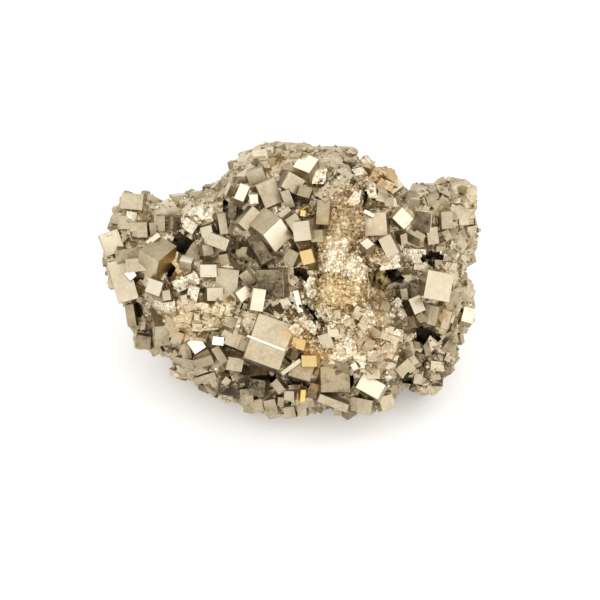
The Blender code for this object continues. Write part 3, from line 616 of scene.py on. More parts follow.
def soften(cube, width):
    """Breaks every edge with a narrow bevel and leaves edit mode."""
    bpy.ops.object.mode_set(mode="OBJECT")
    bevel = cube.modifiers.new("worn edges", "BEVEL")
    bevel.width = width
    bevel.segments = 1
    bevel.limit_method = "ANGLE"
    bevel.angle_limit = WORN_ANGLE
    apply_all(cube)
    return cube


def plain_form():
    cube = add_cube("plain")
    return soften(cube, width=0.018)


def terraced_form():
    """Low growth terraces on the front and on one side."""
    left, right, top = -0.18, 0.24, 0.12
    low, high, aside = 0.035, 0.03, 0.03
    cube = add_cube("terraced")
    score(ACROSS, (left, right))
    score(UP, (top,))
    raise_faces(cube, front_part((left, 1), (-1, top)), (0, 0, -low))
    raise_faces(cube, lambda middle: middle.z < -0.52 and middle.x > right, (0, 0, -high))
    raise_faces(cube, lambda middle: middle.y > FACE_PLANE and middle.x < left, (0, aside, 0))
    return soften(cube, width=0.012)


def ledged_form():
    """Parallel ledges of unlike height across the front, as growth lines make them."""
    lines = (-0.36, -0.22, -0.05, 0.08, 0.27, 0.40)
    ledges = ((-0.29, 0.022), (-0.135, 0.04), (0.175, 0.03), (0.335, 0.05))  # place and height
    reach = 0.08
    cube = add_cube("ledged")
    score(ACROSS, lines)
    for place, height in ledges:
        raise_faces(cube, front_part((place - reach, place + reach), (-1, 1)), (0, 0, -height))
    return soften(cube, width=0.009)


def notched_form():
    """A corner left short, where a neighbour grew against it."""
    right, top = 0.14, 0.10
    notch, rise = 0.22, 0.03
    cube = add_cube("notched")
    score(ACROSS, (right,))
    score(UP, (top,))
    raise_faces(cube, front_part((right, 1), (top, 1)), (0, 0, notch))
    raise_faces(cube, front_part((-1, right), (-1, top)), (0, 0, -rise))
    return soften(cube, width=0.014)


def pitted_form():
    """Small square pits and one raised square on the front."""
    # Where each square lies across and up, and how far it is moved.
    squares = (
        ((-0.27, -0.17), (-0.18, -0.08), 0.08),
        ((0.18, 0.28), (0.215, 0.315), 0.07),
        ((-0.09, 0.11), (0.33, 1), -0.04),
    )
    cube = add_cube("pitted")
    score(ACROSS, (-0.30, -0.14, 0.16, 0.30))
    score(UP, (-0.22, -0.04, 0.20, 0.33))
    for across, up, depth in squares:
        raise_faces(cube, front_part(across, up), (0, 0, depth))
    return soften(cube, width=0.010)


def make_forms():
    forms = {}
    for maker in (plain_form, terraced_form, ledged_form, notched_form, pitted_form):
        cube = maker()
        forms[cube.name] = cube
    return forms


def any_turn(chance):
    return Euler([chance.uniform(-math.pi, math.pi) for _ in range(3)]).to_matrix()


def half_reach(block, direction):
    """How far a turned block reaches from its middle in a direction."""
    return sum(abs(direction.dot(edge)) for edge in block.transposed()) / 2


def edge_lengths(matrix):
    return [matrix.col[axis].to_3d().length for axis in range(3)]


def tip_edge(edge, normal):
    """An edge seen flat on the grid, tipped into the plane that has this normal."""
    return Vector((*edge, -(normal.x * edge.x + normal.y * edge.y) / normal.z))


def crystal_edges(row):
    """A crystal's three edges from its near corner, in the face's axes and at their true length."""
    near, first, second, back = [on_face(*row[start : start + 2]) for start in (0, 2, 4, 6)]
    first = first - near
    second = second - near
    seen = back - near
    depth = (first.length + second.length) / 2
    for _ in range(DEPTH_ROUNDS):
        across = seen / max(depth, LEAST_DEPTH * seen.length)
        normal = Vector((-across.x, -across.y, math.sqrt(1 - across.length_squared)))
        edges = [tip_edge(first, normal), tip_edge(second, normal)]
        lengths = [edge.length for edge in edges]
        depth = sum(lengths) / 2
    middle = (edges[0].normalized() + edges[1].normalized()).normalized()
    spread = (edges[0].normalized() - edges[1].normalized()).normalized()
    one = (middle + spread).normalized() * lengths[0]
    two = (middle - spread).normalized() * lengths[1]
    three = one.cross(two).normalized() * depth
    return one, two, -three if three.z > 0 else three


LINE_SHIFT = 40  # millimetres that the growth lines slide, at most
SHADE_SPREAD = 0.04  # how far a crystal's tarnish and painted shade stray from its word, at random


def facing_axis(polygon):
    return max(range(3), key=lambda axis: abs(polygon.normal[axis]))


def dress_mesh(mesh, sides, finish, grain, chance):
    """Gives a shape its growth-line coordinates in millimetres, its finish with the painted light and
    shade of each face, and its grain.
    """
    lines = mesh.uv_layers.active or mesh.uv_layers.new(name="lines")
    lines.name = "lines"
    shift = (chance.uniform(-LINE_SHIFT, LINE_SHIFT), chance.uniform(-LINE_SHIFT, LINE_SHIFT))
    shift = Vector(shift)
    for polygon in mesh.polygons:
        one = (facing_axis(polygon) + 1) % 3
        two = (one + 1) % 3
        for loop in polygon.loop_indices:
            place = mesh.vertices[mesh.loops[loop].vertex_index].co
            lines.data[loop].uv = (
                shift.x + MILLIMETRES * place[one] * sides[one],
                shift.y + MILLIMETRES * place[two] * sides[two],
            )
    tint_and_shade = mesh.attributes.new("finish", "FLOAT_COLOR", "CORNER")
    words = finish.split("/")
    shade = chance.uniform(-SHADE_SPREAD, SHADE_SPREAD)
    for polygon in mesh.polygons:
        # Each face takes the word for its side, so the front and the sides are painted lighter or
        # darker as light falls on them.
        word = words[(facing_axis(polygon) + 1) % 3 % len(words)]
        tarnish_and_shade, stripes, gold, crust = FINISH_AND_SHADE_WORDS[word]
        tarnish_and_shade = min(max(tarnish_and_shade + shade, 0.0), 1.0)
        for loop in polygon.loop_indices:
            tint_and_shade.data[loop].color = (tarnish_and_shade, stripes, gold, crust)
    patch = mesh.attributes.new("grain", "FLOAT", "FACE")
    for face in patch.data:
        face.value = grain


def place_copy(form, name, matrix, finish, grain, chance, collection):
    """Sets a copy of a form on the display face, with its own mesh."""
    mesh = form.data.copy()
    dress_mesh(mesh, edge_lengths(matrix), finish, grain, chance)
    mesh.transform(matrix)
    if matrix.determinant() < 0:
        mesh.flip_normals()
    crystal = bpy.data.objects.new(name, mesh)
    collection.objects.link(crystal)
    return crystal


def place_crystals(forms, chance, collection):
    for number, row in enumerate(CRYSTALS):
        proud, form, finish = row[8:]
        place = on_face(*row[:2])
        one, two, three = crystal_edges(row)
        corner = Vector((*place, skin_height(place) + (proud / MILLIMETRES + CRYSTAL_LIFT)))
        matrix = Matrix((one, two, three)).transposed().to_4x4()
        matrix.translation = corner + (one + two + three) / 2
        grain = SUGARY_GRAIN if "sugary" in finish or "sparkly" in finish else 0.0
        name = f"crystal_{number:03d}"
        place_copy(forms[form], name, FACE @ matrix, finish, grain, chance, collection)
        add_root(forms, number, matrix, one, chance, collection)


def add_root(forms, number, matrix, edge, chance, collection):
    """Matrix rock behind a crystal that stands clear of the lump, out of sight from the front."""
    centre = matrix.translation
    foot = skin_height(centre.xy) - ROOT
    if centre.z - half_reach(matrix.to_3x3(), OUTWARD) < foot:
        return
    side = ROOT_SHARE * min(edge_lengths(matrix))
    turn = Matrix.Rotation(math.atan2(edge.y, edge.x), 4, "Z")
    column = turn @ Matrix.Diagonal((side, side, centre.z - foot, 1))
    column.translation = (centre.x, centre.y, (centre.z + foot) / 2)
    name = f"root_{number:03d}"
    place_copy(forms["plain"], name, FACE @ column, "crust", 1.0, chance, collection)


def strew_crystals(forms, spread, chance, paint, collection):
    """Crystals at odd angles, spread evenly over the whole lump."""
    name, count, sides, rises, finishes = spread
    for number in range(count):
        height = 1 - (2 * number + 1) / count
        ring = math.sqrt(1 - height * height)
        angle = number * GOLDEN_TURN
        direction = Vector((ring * math.cos(angle), ring * math.sin(angle), height))
        on_rim = abs(height) < RIM_HALF
        side = chance.uniform(*sides) * (BACK_GAIN if height < 0 else 1.0)
        rise = chance.uniform(*rises) * (RIM_SHARE if on_rim else 1.0)
        rise *= FRONT_SHARE if height > FRONT_FROM else 1.0
        rise *= RIM_SHARE if name == "small" and on_rim else 1.0
        tilt = any_turn(chance)
        crystal = tilt @ Matrix.Diagonal((side, side * chance.uniform(*STREWN_SQUASH), side))
        matrix = crystal.to_4x4()
        sunk = half_reach(crystal, direction) - rise
        matrix.translation = skin_place(direction) - direction * sunk
        form = forms[paint.choice(STREWN_FORMS)]
        finish = paint.choice(finishes.split())
        place_copy(form, f"{name}_{number:03d}", FACE @ matrix, finish, STREWN_GRAIN, paint, collection)


def make_crowds(forms, paint, collection):
    """Small crystals at odd angles, crowded together on parts of the display face."""
    for patch, (across, down, reach, count, finishes) in enumerate(CROWDS):
        for number in range(count):
            away = reach * GRID * math.sqrt(paint.random())
            angle = paint.uniform(-math.pi, math.pi)
            place = on_face(across, down) + Vector((away * math.cos(angle), away * math.sin(angle)))
            side = paint.uniform(*CROWD_SIDE)
            rise = paint.uniform(*CROWD_RISE)
            tilt = any_turn(paint)
            crystal = tilt @ Matrix.Diagonal((side, side * paint.uniform(*CROWD_SQUASH), side))
            if place.length > CROWD_EDGE * outline_radius(place):
                continue
            matrix = crystal.to_4x4()
            matrix.translation = (*place, ground_height(place) + rise - half_reach(crystal, OUTWARD))
            form = forms[paint.choice(CROWD_FORMS)]
            finish = paint.choice(finishes.split())
            name = f"crowd_{patch:02d}_{number:02d}"
            place_copy(form, name, FACE @ matrix, finish, CROWD_GRAIN, paint, collection)


# ---- The lump and its cavities ------------------------------------------------------------------


def make_lump(chance):
    """The craggy body that the crystals stand on."""
    rest()
    bpy.ops.mesh.primitive_ico_sphere_add(subdivisions=LUMP_DIVISIONS, radius=1.0)
    lump = bpy.context.active_object
    lump.name = "pyrite_crystals"
    for corner in lump.data.vertices:
        direction = corner.co.normalized()
        place = skin_place(direction)
        small = noise.noise(place / (SMALL_CRAG_PITCH * CRAG_PITCH))
        crag = noise.noise(place / CRAG_PITCH) * CRAG_HEIGHT
        crag += small * SMALL_CRAG_HEIGHT * CRAG_HEIGHT
        corner.co = place + direction * crag
    dress_mesh(lump.data, (1.0, 1.0, 1.0), "crust", 1.0, chance)
    lump.data.transform(FACE)
    return lump


def make_masses(paint, collection):
    """Blocky masses of granular rock, sunk half way into the lump."""
    for number, (across, down, half_across, half_down, proud, finish, grain) in enumerate(MASSES):
        rest()
        bpy.ops.mesh.primitive_ico_sphere_add(subdivisions=MASS_DIVISIONS, radius=1.0)
        mass = take(bpy.context.active_object)
        mass.name = f"mass_{number:02d}"
        place = on_face(across, down)
        centre = Vector((*place, skin_height(place)))
        for corner in mass.data.vertices:
            corner.co *= (sum(abs(part) ** MASS_POWER for part in corner.co)) ** (-1 / MASS_POWER)
            dent = noise.noise(MASS_DENT_RATE * corner.co + MASS_DRIFT * centre / GRID)
            corner.co *= 1 + MASS_DENTS * dent
            right, up, out = corner.co
            right = right * half_across * GRID
            up = up * half_down * GRID
            out = out * proud / MILLIMETRES
            corner.co = Vector((right, up, out))
            corner.co += centre
            corner.co.z += MASS_GRIT * noise.noise(corner.co / MASS_GRIT_PITCH)
        dress_mesh(mass.data, (1.0, 1.0, 1.0), finish, grain, paint)
        mass.data.transform(FACE)
        collection.objects.link(mass)
        bpy.context.scene.collection.objects.unlink(mass)


def make_cavities(forms, chance, paint, collection):
    for number, (across, down, half_across, half_down, depth) in enumerate(CAVITIES):
        place = on_face(across, down)
        half = Matrix.Diagonal((half_across * GRID, half_down * GRID, depth / MILLIMETRES, 1))
        turned = any_turn(chance).to_4x4()
        centre = Matrix.Translation((*place, skin_height(place)))
        block = centre @ half @ turned @ Matrix.Scale(CAVITY_FILL, 4)
        name = f"cavity_{number:02d}"
        # The cutting block leaves its black finish on the walls it cuts: painted shade in the hollow.
        place_copy(forms["plain"], name, FACE @ block, "black", CAVITY_GRAIN, paint, collection)


def make_clefts(forms, paint, collection):
    """Upright blocks that cut the clefts open from above the crystals to below the skin, leaving their
    dark finish on the walls as painted shade.
    """
    for number, (across, down, length, width, turn, depth, finish) in enumerate(CLEFTS):
        way = Matrix.Rotation(math.radians(-turn), 4, "Z")
        height = CLEFT_TOP + depth / MILLIMETRES
        for part, (along, aside, share, twist) in enumerate(CLEFT_BLOCKS):
            offset = way @ Vector((along * length * GRID, aside * width * GRID, 0))
            place = on_face(across, down) + offset.xy
            block = Matrix.Rotation(math.radians(-turn - twist), 4, "Z")
            block = block @ Matrix.Rotation(CLEFT_TILT, 4, "X")
            block = block @ Matrix.Diagonal((share * length * GRID, share * width * GRID, height, 1))
            middle = (CLEFT_TOP - depth / MILLIMETRES) / 2
            block.translation = (*place, skin_height(place) + middle)
            name = f"cleft_{number:02d}_{part}"
            place_copy(forms["plain"], name, FACE @ block, finish, CLEFT_GRAIN, paint, collection)


def combine(obj, operation, collection):
    """Joins a collection's shapes to the object, or cuts them out, and clears them away."""
    step = obj.modifiers.new(operation, "BOOLEAN")
    step.operation = operation
    step.solver = "MANIFOLD"
    step.operand_type = "COLLECTION"
    step.collection = collection
    apply_all(obj)
    for other in list(collection.objects):
        bpy.data.objects.remove(other, do_unlink=True)


def cut_base(obj, forms, chance, collection):
    """Cuts the rest face flat."""
    below = Matrix.Translation((0, 0, -BASE_BLOCK / 2)) @ Matrix.Scale(BASE_BLOCK, 4)
    place_copy(forms["plain"], "base_cutter", below, "dull", 0.0, chance, collection)
    combine(obj, "DIFFERENCE", collection)


def set_order(shape):
    """Numbers points and faces by their place. The solver leaves their order to chance, and the fine
    crystals are drawn at random by it."""
    points = sorted(shape.verts, key=lambda point: point.co[:])
    faces = sorted(shape.faces, key=lambda face: (*face.calc_center_median(), *face.loops[0].vert.co))
    for kind, ordered in ((shape.verts, points), (shape.faces, faces)):
        for number, part in enumerate(ordered):
            part.index = number
        kind.sort()


def keep_largest_shell(obj):
    """Drops any crumb that stands apart and any pocket closed up inside."""
    shape = bmesh.new()
    shape.from_mesh(obj.data)
    left = set(shape.faces)
    shells = []
    while left:
        shell = {left.pop()}
        edge_of = list(shell)
        while edge_of:
            face = edge_of.pop()
            for edge in face.edges:
                for other in edge.link_faces:
                    if other in left:
                        left.remove(other)
                        shell.add(other)
                        edge_of.append(other)
        shells.append(shell)
    largest = max(shells, key=len)
    extra = [face for shell in shells if shell is not largest for face in shell]
    bmesh.ops.delete(shape, geom=extra, context="FACES")
    set_order(shape)
    shape.to_mesh(obj.data)
    shape.free()


# ---- Node trees ---------------------------------------------------------------------------------


class Nodes:
    """Adds nodes to a tree and joins them up, one call to a node."""

    def __init__(self, tree):
        self.tree = tree

    def add(self, kind, settings=None, **inputs):
        """Adds a node. An input is named as its socket, or i and its number."""
        node = self.tree.nodes.new(kind)
        for name, value in (settings or {}).items():
            setattr(node, name, value)
        for name, value in inputs.items():
            key = int(name[1:]) if name[1:].isdigit() else name.replace("_", " ")
            self.feed(node.inputs[key], value)
        return node

    def feed(self, socket, value):
        if isinstance(value, bpy.types.NodeSocket):
            self.tree.links.new(value, socket)
        else:
            socket.default_value = value

    def maths(self, operation, one, two=0.0, clamp=False):
        settings = {"operation": operation, "use_clamp": clamp}
        return self.add("ShaderNodeMath", settings, i0=one, i1=two).outputs[0]

    def plus(self, one, two, clamp=False):
        return self.maths("ADD", one, two, clamp)

    def minus(self, one, two, clamp=False):
        return self.maths("SUBTRACT", one, two, clamp)

    def times(self, one, two, clamp=False):
        return self.maths("MULTIPLY", one, two, clamp)

    def most(self, one, two, clamp=False):
        return self.maths("MAXIMUM", one, two, clamp)

    def swing(self, pattern, share):
        """A pattern's rise and fall about its middle, times a share."""
        return self.times(self.minus(pattern, 0.5), share)

    def step(self, value, low, high):
        """Goes from 0 to 1 as the value goes from low to high."""
        node = self.add("ShaderNodeMapRange", None, Value=value, From_Min=low, From_Max=high)
        return node.outputs[0]

    def blend(self, share, one, two):
        """Mixes two colours by a share."""
        node = self.add("ShaderNodeMix", {"data_type": "RGBA"}, i0=share, i6=one, i7=two)
        return node.outputs[2]

    def noise(self, vector, scale, detail, roughness):
        inputs = {"Vector": vector, "Scale": scale, "Detail": detail, "Roughness": roughness}
        return self.add("ShaderNodeTexNoise", None, **inputs).outputs[0]

    def ramp(self, share, stops):
        node = self.add("ShaderNodeValToRGB", None, Fac=share)
        ramp = node.color_ramp
        while len(ramp.elements) < len(stops):
            ramp.elements.new(0.5)
        for element, (place, colour) in zip(ramp.elements, stops):
            element.position = place
            element.color = colour
        return node.outputs[0]


# ---- Fine crystals ------------------------------------------------------------------------------


def grain_density(obj):
    """Turns each face's share of grain into fine crystals to the square metre, by its patch."""
    patch = obj.data.attributes["grain"]
    to_face = FACE.inverted()
    for polygon in obj.data.polygons:
        place = to_face @ polygon.center
        density = GRAIN_EVERYWHERE
        if place.z > 0:
            for across, down, reach, most in GRAINY:
                distance = (place.xy - on_face(across, down)).length / (reach * GRID)
                density = max(density, most * math.exp(-distance * distance))
        patch.data[polygon.index].value *= density * MILLIMETRES**2


def scatter_group(cube):
    """Geometry nodes that strew copies of the cube over a surface by its grain."""
    group = bpy.data.node_groups.new("strew fine crystals", "GeometryNodeTree")
    for way in ("INPUT", "OUTPUT"):
        group.interface.new_socket("Geometry", in_out=way, socket_type="NodeSocketGeometry")
    nodes = Nodes(group)
    inlet = nodes.add("NodeGroupInput").outputs[0]

    # Points on the surface, by its grain and none of them low down.
    grain = nodes.add("GeometryNodeInputNamedAttribute", {"data_type": "FLOAT"}, Name="grain")
    settings = {"distribute_method": "RANDOM"}
    inputs = {"Mesh": inlet, "Density": grain.outputs["Attribute"], "Seed": SEED}
    points = nodes.add("GeometryNodeDistributePointsOnFaces", settings, **inputs).outputs["Points"]
    where = nodes.add("GeometryNodeInputPosition").outputs["Position"]
    height = nodes.add("ShaderNodeSeparateXYZ", None, Vector=where).outputs["Z"]
    low = nodes.maths("LESS_THAN", height, GRAIN_FLOOR)
    inputs = {"Geometry": points, "Selection": low}
    points = nodes.add("GeometryNodeDeleteGeometry", {"domain": "POINT"}, **inputs).outputs["Geometry"]

    # A copy of the cube at each point, at an odd angle and mostly small.
    source = nodes.add("GeometryNodeObjectInfo", None, Object=cube).outputs["Geometry"]
    inputs = {"Min": (-math.pi,) * 3, "Max": (math.pi,) * 3}
    turn = nodes.add("FunctionNodeRandomValue", {"data_type": "FLOAT_VECTOR"}, **inputs)
    roots = {"i2": GRAIN_SIDE[0] ** 0.5, "i3": GRAIN_SIDE[1] ** 0.5}
    size = nodes.add("FunctionNodeRandomValue", {"data_type": "FLOAT"}, **roots).outputs[1]
    inputs = {"Points": points, "Instance": source, "Rotation": turn.outputs["Value"]}
    inputs["Scale"] = nodes.maths("POWER", size, 2.0)
    copies = nodes.add("GeometryNodeInstanceOnPoints", None, **inputs).outputs["Instances"]

    # The finish under it, with its painted light and shade, a little lighter or darker at random.
    settings = {"data_type": "FLOAT_COLOR"}
    under = nodes.add("GeometryNodeInputNamedAttribute", settings, Name="finish")
    parts = nodes.add("FunctionNodeSeparateColor", None, Color=under.outputs["Attribute"])
    shades = {"i2": GRAIN_SHADE[0], "i3": GRAIN_SHADE[1], "Seed": GRAIN_SHADE_SEED}
    shade = nodes.add("FunctionNodeRandomValue", {"data_type": "FLOAT"}, **shades).outputs[1]
    inputs = {"i0": parts.outputs["Red"], "i1": GRAIN_TARNISH_AND_SHADE, "i2": shade}
    tarnish_and_shade = nodes.add("ShaderNodeMath", {"operation": "MULTIPLY_ADD"}, **inputs).outputs[0]
    inputs = {"Red": tarnish_and_shade, "Blue": parts.outputs["Blue"]}
    colour = nodes.add("FunctionNodeCombineColor", None, **inputs).outputs["Color"]
    settings = {"data_type": "FLOAT_COLOR", "domain": "INSTANCE"}
    inputs = {"Geometry": copies, "Name": "finish", "Value": colour}
    tinted = nodes.add("GeometryNodeStoreNamedAttribute", settings, **inputs).outputs["Geometry"]
    real = nodes.add("GeometryNodeRealizeInstances", None, Geometry=tinted).outputs["Geometry"]
    nodes.add("NodeGroupOutput", None, i0=real)
    return group


def strew_fine_crystals(body):
    rest()
    bpy.ops.mesh.primitive_cube_add(size=1.0)
    cube = bpy.context.active_object
    cube.name = "fine_crystal"
    fine = body.copy()
    fine.data = body.data.copy()
    fine.name = "fine_crystals"
    bpy.context.scene.collection.objects.link(fine)
    strew = fine.modifiers.new("strew", "NODES")
    strew.node_group = scatter_group(cube)
    apply_all(fine)
    bpy.data.objects.remove(cube, do_unlink=True)
    return fine


# ---- Finish, with painted light and shade -------------------------------------------------------

# Colours for the tarnish and painted light and shade value, from the lightest to the darkest.
TARNISH_AND_SHADE_STOPS = (
    (0.0, (0.90, 0.84, 0.68, 1)),
    (0.15, (0.70, 0.615, 0.46, 1)),
    (0.32, (0.575, 0.495, 0.355, 1)),
    (0.5, (0.48, 0.40, 0.27, 1)),
    (0.75, (0.335, 0.268, 0.168, 1)),
    (1.0, (0.065, 0.048, 0.030, 1)),
)
RUST = (0.60, 0.29, 0.09, 1)
GOLD = (0.78, 0.51, 0.09, 1)

# Noise patterns: repeats to the metre, detail and roughness.
PATCHES = (260.0, 4.0, 0.6)
SPECKS = (1500.0, 3.0, 0.65)
BLOTCHES = (620.0, 5.0, 0.7)
CELL_RATE = 2600.0  # sugary cells to the metre

# Growth lines: repeats to the millimetre each way, and the noise's detail and roughness.
CLOSE_LINES = ((3.2, 0.10, 1.0), 3.0, 0.7)
WIDE_LINES = ((0.9, 0.04, 1.0), 2.0, 0.5)
WIDE_LINE_SHARE = 1.5

CRUST_PATCHES = (0.50, 0.62)  # where in the patch pattern crust starts and is full
CRUST_BY_TARNISH_AND_SHADE = 0.5
DIRT_BY_TARNISH_AND_SHADE = 1.3
LEAST_DIRT = 0.1
PATCH_MOTTLE = 0.7
SPECK_MOTTLE = 0.35
CELL_MOTTLE = 0.45
STAIN_BLOTCHES = (0.42, 0.6)  # where in the blotch pattern a stain starts and is full
GOLD_COVER = 0.85
RUST_COVER = 0.85
RUST_DULLING = 0.7  # how much of the metal's shine rust hides
SMOOTHEST = 0.30
TARNISH_AND_SHADE_ROUGHNESS = 0.20
RUST_ROUGHNESS = 0.3
SPECK_RELIEF = 0.25
CELL_RELIEF = 0.8
RELIEF_STRENGTH = 0.6
RELIEF_HEIGHT = 0.00012  # in metres


def stain_masks(nodes, place):
    """How stained the surface is at a place, and how golden, from the list of stains."""
    rust = gold = 0.0
    for across, down, reach, strength, golden in STAINS:
        flat = on_face(across, down)
        centre = FACE @ Vector((*flat, skin_height(flat) + STAIN_LIFT))
        distance = nodes.add("ShaderNodeVectorMath", {"operation": "DISTANCE"}, i0=place, i1=centre)
        near = nodes.add(
            "ShaderNodeMapRange",
            {"interpolation_type": "SMOOTHSTEP"},
            Value=distance.outputs["Value"],
            From_Min=STAIN_EDGE[0] * reach * GRID,
            From_Max=STAIN_EDGE[1] * reach * GRID,
            To_Min=1.0,
            To_Max=0.0,
        ).outputs[0]
        rust = nodes.most(nodes.times(near, strength * (1 - golden)), rust)
        gold = nodes.most(nodes.times(near, strength * golden), gold)
    return rust, gold


def growth_lines(nodes, lines, pattern):
    """Uneven lines that run the long way of a crystal's faces."""
    scale, detail, roughness = pattern
    stretched = nodes.add("ShaderNodeMapping", None, Vector=lines, Scale=scale).outputs[0]
    return nodes.noise(stretched, 1.0, detail, roughness)


def pyrite_finish(name, lined):
    """Brassy-grey metal, tarnished in patches, crusted with sugary grains and stained by iron, each
    face painted lighter or darker by its finish words as light falls on it.
    """
    material = bpy.data.materials.new(name)
    material.use_nodes = True
    nodes = Nodes(material.node_tree)
    surface = material.node_tree.nodes["Principled BSDF"].inputs
    place = nodes.add("ShaderNodeTexCoord").outputs["Object"]
    finish = nodes.add("ShaderNodeAttribute", {"attribute_name": "finish"}).outputs
    word_crust = finish["Alpha"]
    parts = nodes.add("ShaderNodeSeparateColor", None, Color=finish["Color"]).outputs
    word_tarnish_and_shade, word_lines, word_gold = parts[0], parts[1], parts[2]

    patches = nodes.noise(place, *PATCHES)
    specks = nodes.noise(place, *SPECKS)
    cells = nodes.add("ShaderNodeTexVoronoi", None, Vector=place, Scale=CELL_RATE).outputs
    cell_tone = nodes.add("ShaderNodeSeparateColor", None, Color=cells["Color"]).outputs[0]

    crusted = nodes.step(patches, *CRUST_PATCHES)
    crusted = nodes.times(crusted, nodes.times(word_tarnish_and_shade, CRUST_BY_TARNISH_AND_SHADE), True)
    crust = nodes.most(word_crust, crusted)
    dirt = nodes.plus(nodes.times(word_tarnish_and_shade, DIRT_BY_TARNISH_AND_SHADE), word_crust)
    dirt = nodes.maths("MINIMUM", nodes.plus(dirt, LEAST_DIRT), 1.0)
    mottle = nodes.plus(nodes.swing(patches, PATCH_MOTTLE), nodes.swing(specks, SPECK_MOTTLE))
    tarnish_and_shade = nodes.plus(word_tarnish_and_shade, nodes.times(mottle, dirt))
    tarnish_and_shade = nodes.plus(tarnish_and_shade, nodes.times(nodes.swing(cell_tone, CELL_MOTTLE), crust), True)

    rust, gold = stain_masks(nodes, place)
    blotches = nodes.step(nodes.noise(place, *BLOTCHES), *STAIN_BLOTCHES)
    rust = nodes.times(rust, blotches, True)
    gold = nodes.most(nodes.times(gold, blotches), word_gold, True)
    # The base colour carries the painted highlights and painted shade of the finish words.
    colour = nodes.ramp(tarnish_and_shade, TARNISH_AND_SHADE_STOPS)
    colour = nodes.blend(nodes.times(gold, GOLD_COVER), colour, GOLD)
    colour = nodes.blend(nodes.times(rust, RUST_COVER), colour, RUST)
    nodes.feed(surface["Base Color"], colour)
    nodes.feed(surface["Metallic"], nodes.minus(1.0, nodes.times(rust, RUST_DULLING), True))
    rough = nodes.plus(SMOOTHEST, nodes.times(tarnish_and_shade, TARNISH_AND_SHADE_ROUGHNESS))
    rough = nodes.plus(rough, nodes.times(rust, RUST_ROUGHNESS), True)
    nodes.feed(surface["Roughness"], rough)

    bulges = nodes.times(nodes.minus(1.0, cells["Distance"]), crust)
    relief = nodes.plus(nodes.times(specks, SPECK_RELIEF), nodes.times(bulges, CELL_RELIEF))
    if lined:
        lines = nodes.add("ShaderNodeUVMap", {"uv_map": "lines"}).outputs[0]
        close = growth_lines(nodes, lines, CLOSE_LINES)
        wide = growth_lines(nodes, lines, WIDE_LINES)
        stripes = nodes.plus(close, nodes.times(wide, WIDE_LINE_SHARE))
        relief = nodes.plus(relief, nodes.times(stripes, word_lines))
    inputs = {"Height": relief, "Strength": RELIEF_STRENGTH, "Distance": RELIEF_HEIGHT}
    nodes.feed(surface["Normal"], nodes.add("ShaderNodeBump", None, **inputs).outputs[0])
    return material


# ---- Studio -------------------------------------------------------------------------------------

WHITE = (1.0, 1.0, 1.0, 1)
WORLD_LIGHT = 1.2
KEY_WAY = (0.25, 0.15, 0.95)  # where the key light stands from the face, in the face's axes
KEY_DISTANCE = 1.5
KEY_SIZE = 2.0
KEY_POWER = 6
FLOOR_SIZE = 8.0
FLOOR_PALE = (0.86, 0.86, 0.86, 1)
FLOOR_ROUGHNESS = 0.9
FLOOR_GLOW = 0.22  # the floor is lit a little from below, as a light table is
LENS = 500
SENSOR = 36.0
NEAREST = 0.05
FARTHEST = 20.0
VIEW_WIDTH = 0.120  # what the picture takes in across, at the middle of the face
AIM_RIGHT = 12 * GRID  # the picture's middle against the middle of the face
AIM_DOWN = 20 * GRID


def add_camera():
    camera = bpy.data.cameras.new("camera")
    camera.lens = LENS
    camera.sensor_width = SENSOR
    camera.clip_start = NEAREST
    camera.clip_end = FARTHEST
    holder = bpy.data.objects.new("camera", camera)
    bpy.context.scene.collection.objects.link(holder)
    distance = VIEW_WIDTH * LENS / SENSOR
    holder.matrix_world = FACE @ Matrix.Translation((AIM_RIGHT, -AIM_DOWN, distance))
    bpy.context.scene.camera = holder


def add_key_light():
    light = bpy.data.lights.new("key", "AREA")
    light.shape = "SQUARE"
    light.size = KEY_SIZE
    light.energy = KEY_POWER
    holder = bpy.data.objects.new("key", light)
    bpy.context.scene.collection.objects.link(holder)
    way = (FACE.to_3x3() @ Vector(KEY_WAY)).normalized()
    holder.location = FACE_CENTRE + way * KEY_DISTANCE
    holder.rotation_euler = way.to_track_quat("Z", "Y").to_euler()


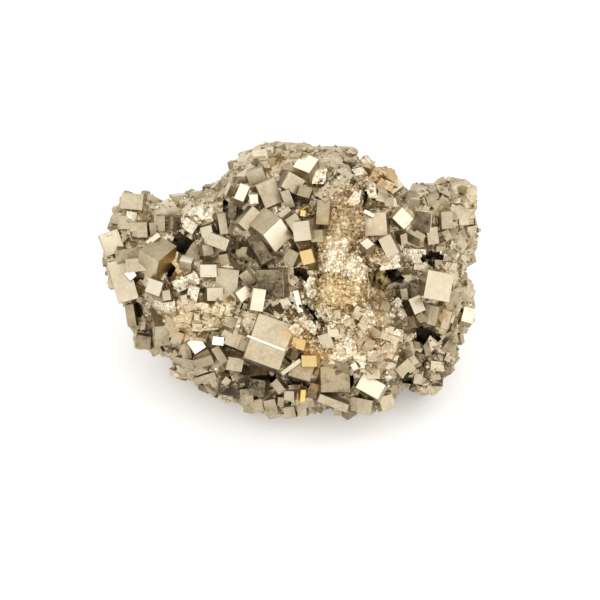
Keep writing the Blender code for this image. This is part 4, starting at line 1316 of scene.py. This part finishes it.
def add_floor():
    rest()
    bpy.ops.mesh.primitive_plane_add(size=FLOOR_SIZE)
    floor = bpy.context.active_object
    floor.name = "floor"
    pale = bpy.data.materials.new("pale floor")
    pale.use_nodes = True
    surface = pale.node_tree.nodes["Principled BSDF"].inputs
    surface["Base Color"].default_value = FLOOR_PALE
    surface["Emission Color"].default_value = WHITE
    surface["Emission Strength"].default_value = FLOOR_GLOW
    surface["Roughness"].default_value = FLOOR_ROUGHNESS
    floor.data.materials.append(pale)


def add_world():
    """Even pale light from all round."""
    world = bpy.data.worlds.new("studio")
    world.use_nodes = True
    back = world.node_tree.nodes["Background"].inputs
    back["Color"].default_value = WHITE
    back["Strength"].default_value = WORLD_LIGHT
    bpy.context.scene.world = world


def add_studio():
    add_floor()
    add_key_light()
    add_world()
    bpy.context.scene.view_settings.view_transform = "Standard"


# ---- Making -------------------------------------------------------------------------------------


def make_body(forms, chance, paint, shapes):
    """The lump with all its crystals, masses, cavities and clefts, as one closed shape."""
    coarse, fine, small = STREWN
    body = make_lump(paint)
    for spread in (coarse, fine):
        strew_crystals(forms, spread, chance, paint, shapes)
    combine(body, "UNION", shapes)
    make_cavities(forms, chance, paint, shapes)
    combine(body, "DIFFERENCE", shapes)
    strew_crystals(forms, small, chance, paint, shapes)
    place_crystals(forms, paint, shapes)
    make_masses(paint, shapes)
    make_crowds(forms, paint, shapes)
    combine(body, "UNION", shapes)
    make_clefts(forms, paint, shapes)
    combine(body, "DIFFERENCE", shapes)
    cut_base(body, forms, paint, shapes)
    keep_largest_shell(body)
    return body


def main():
    rest()
    chance = random.Random(SEED)
    paint = random.Random(SEED + 1)
    shapes = bpy.data.collections.new("shapes to combine")
    bpy.context.scene.collection.children.link(shapes)
    forms = make_forms()
    body = make_body(forms, chance, paint, shapes)
    grain_density(body)
    fine = strew_fine_crystals(body)
    for form in forms.values():
        bpy.data.objects.remove(form, do_unlink=True)
    bpy.data.collections.remove(shapes)
    finishes = ((body, pyrite_finish("pyrite", True)), (fine, pyrite_finish("fine pyrite", False)))
    for piece, finish in finishes:
        piece.data.materials.clear()
        piece.data.materials.append(finish)
        for polygon in piece.data.polygons:
            polygon.material_index = 0
            polygon.use_smooth = False
        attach(piece, "root")
    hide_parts("pyrite_cluster")
    add_studio()
    add_camera()


main()
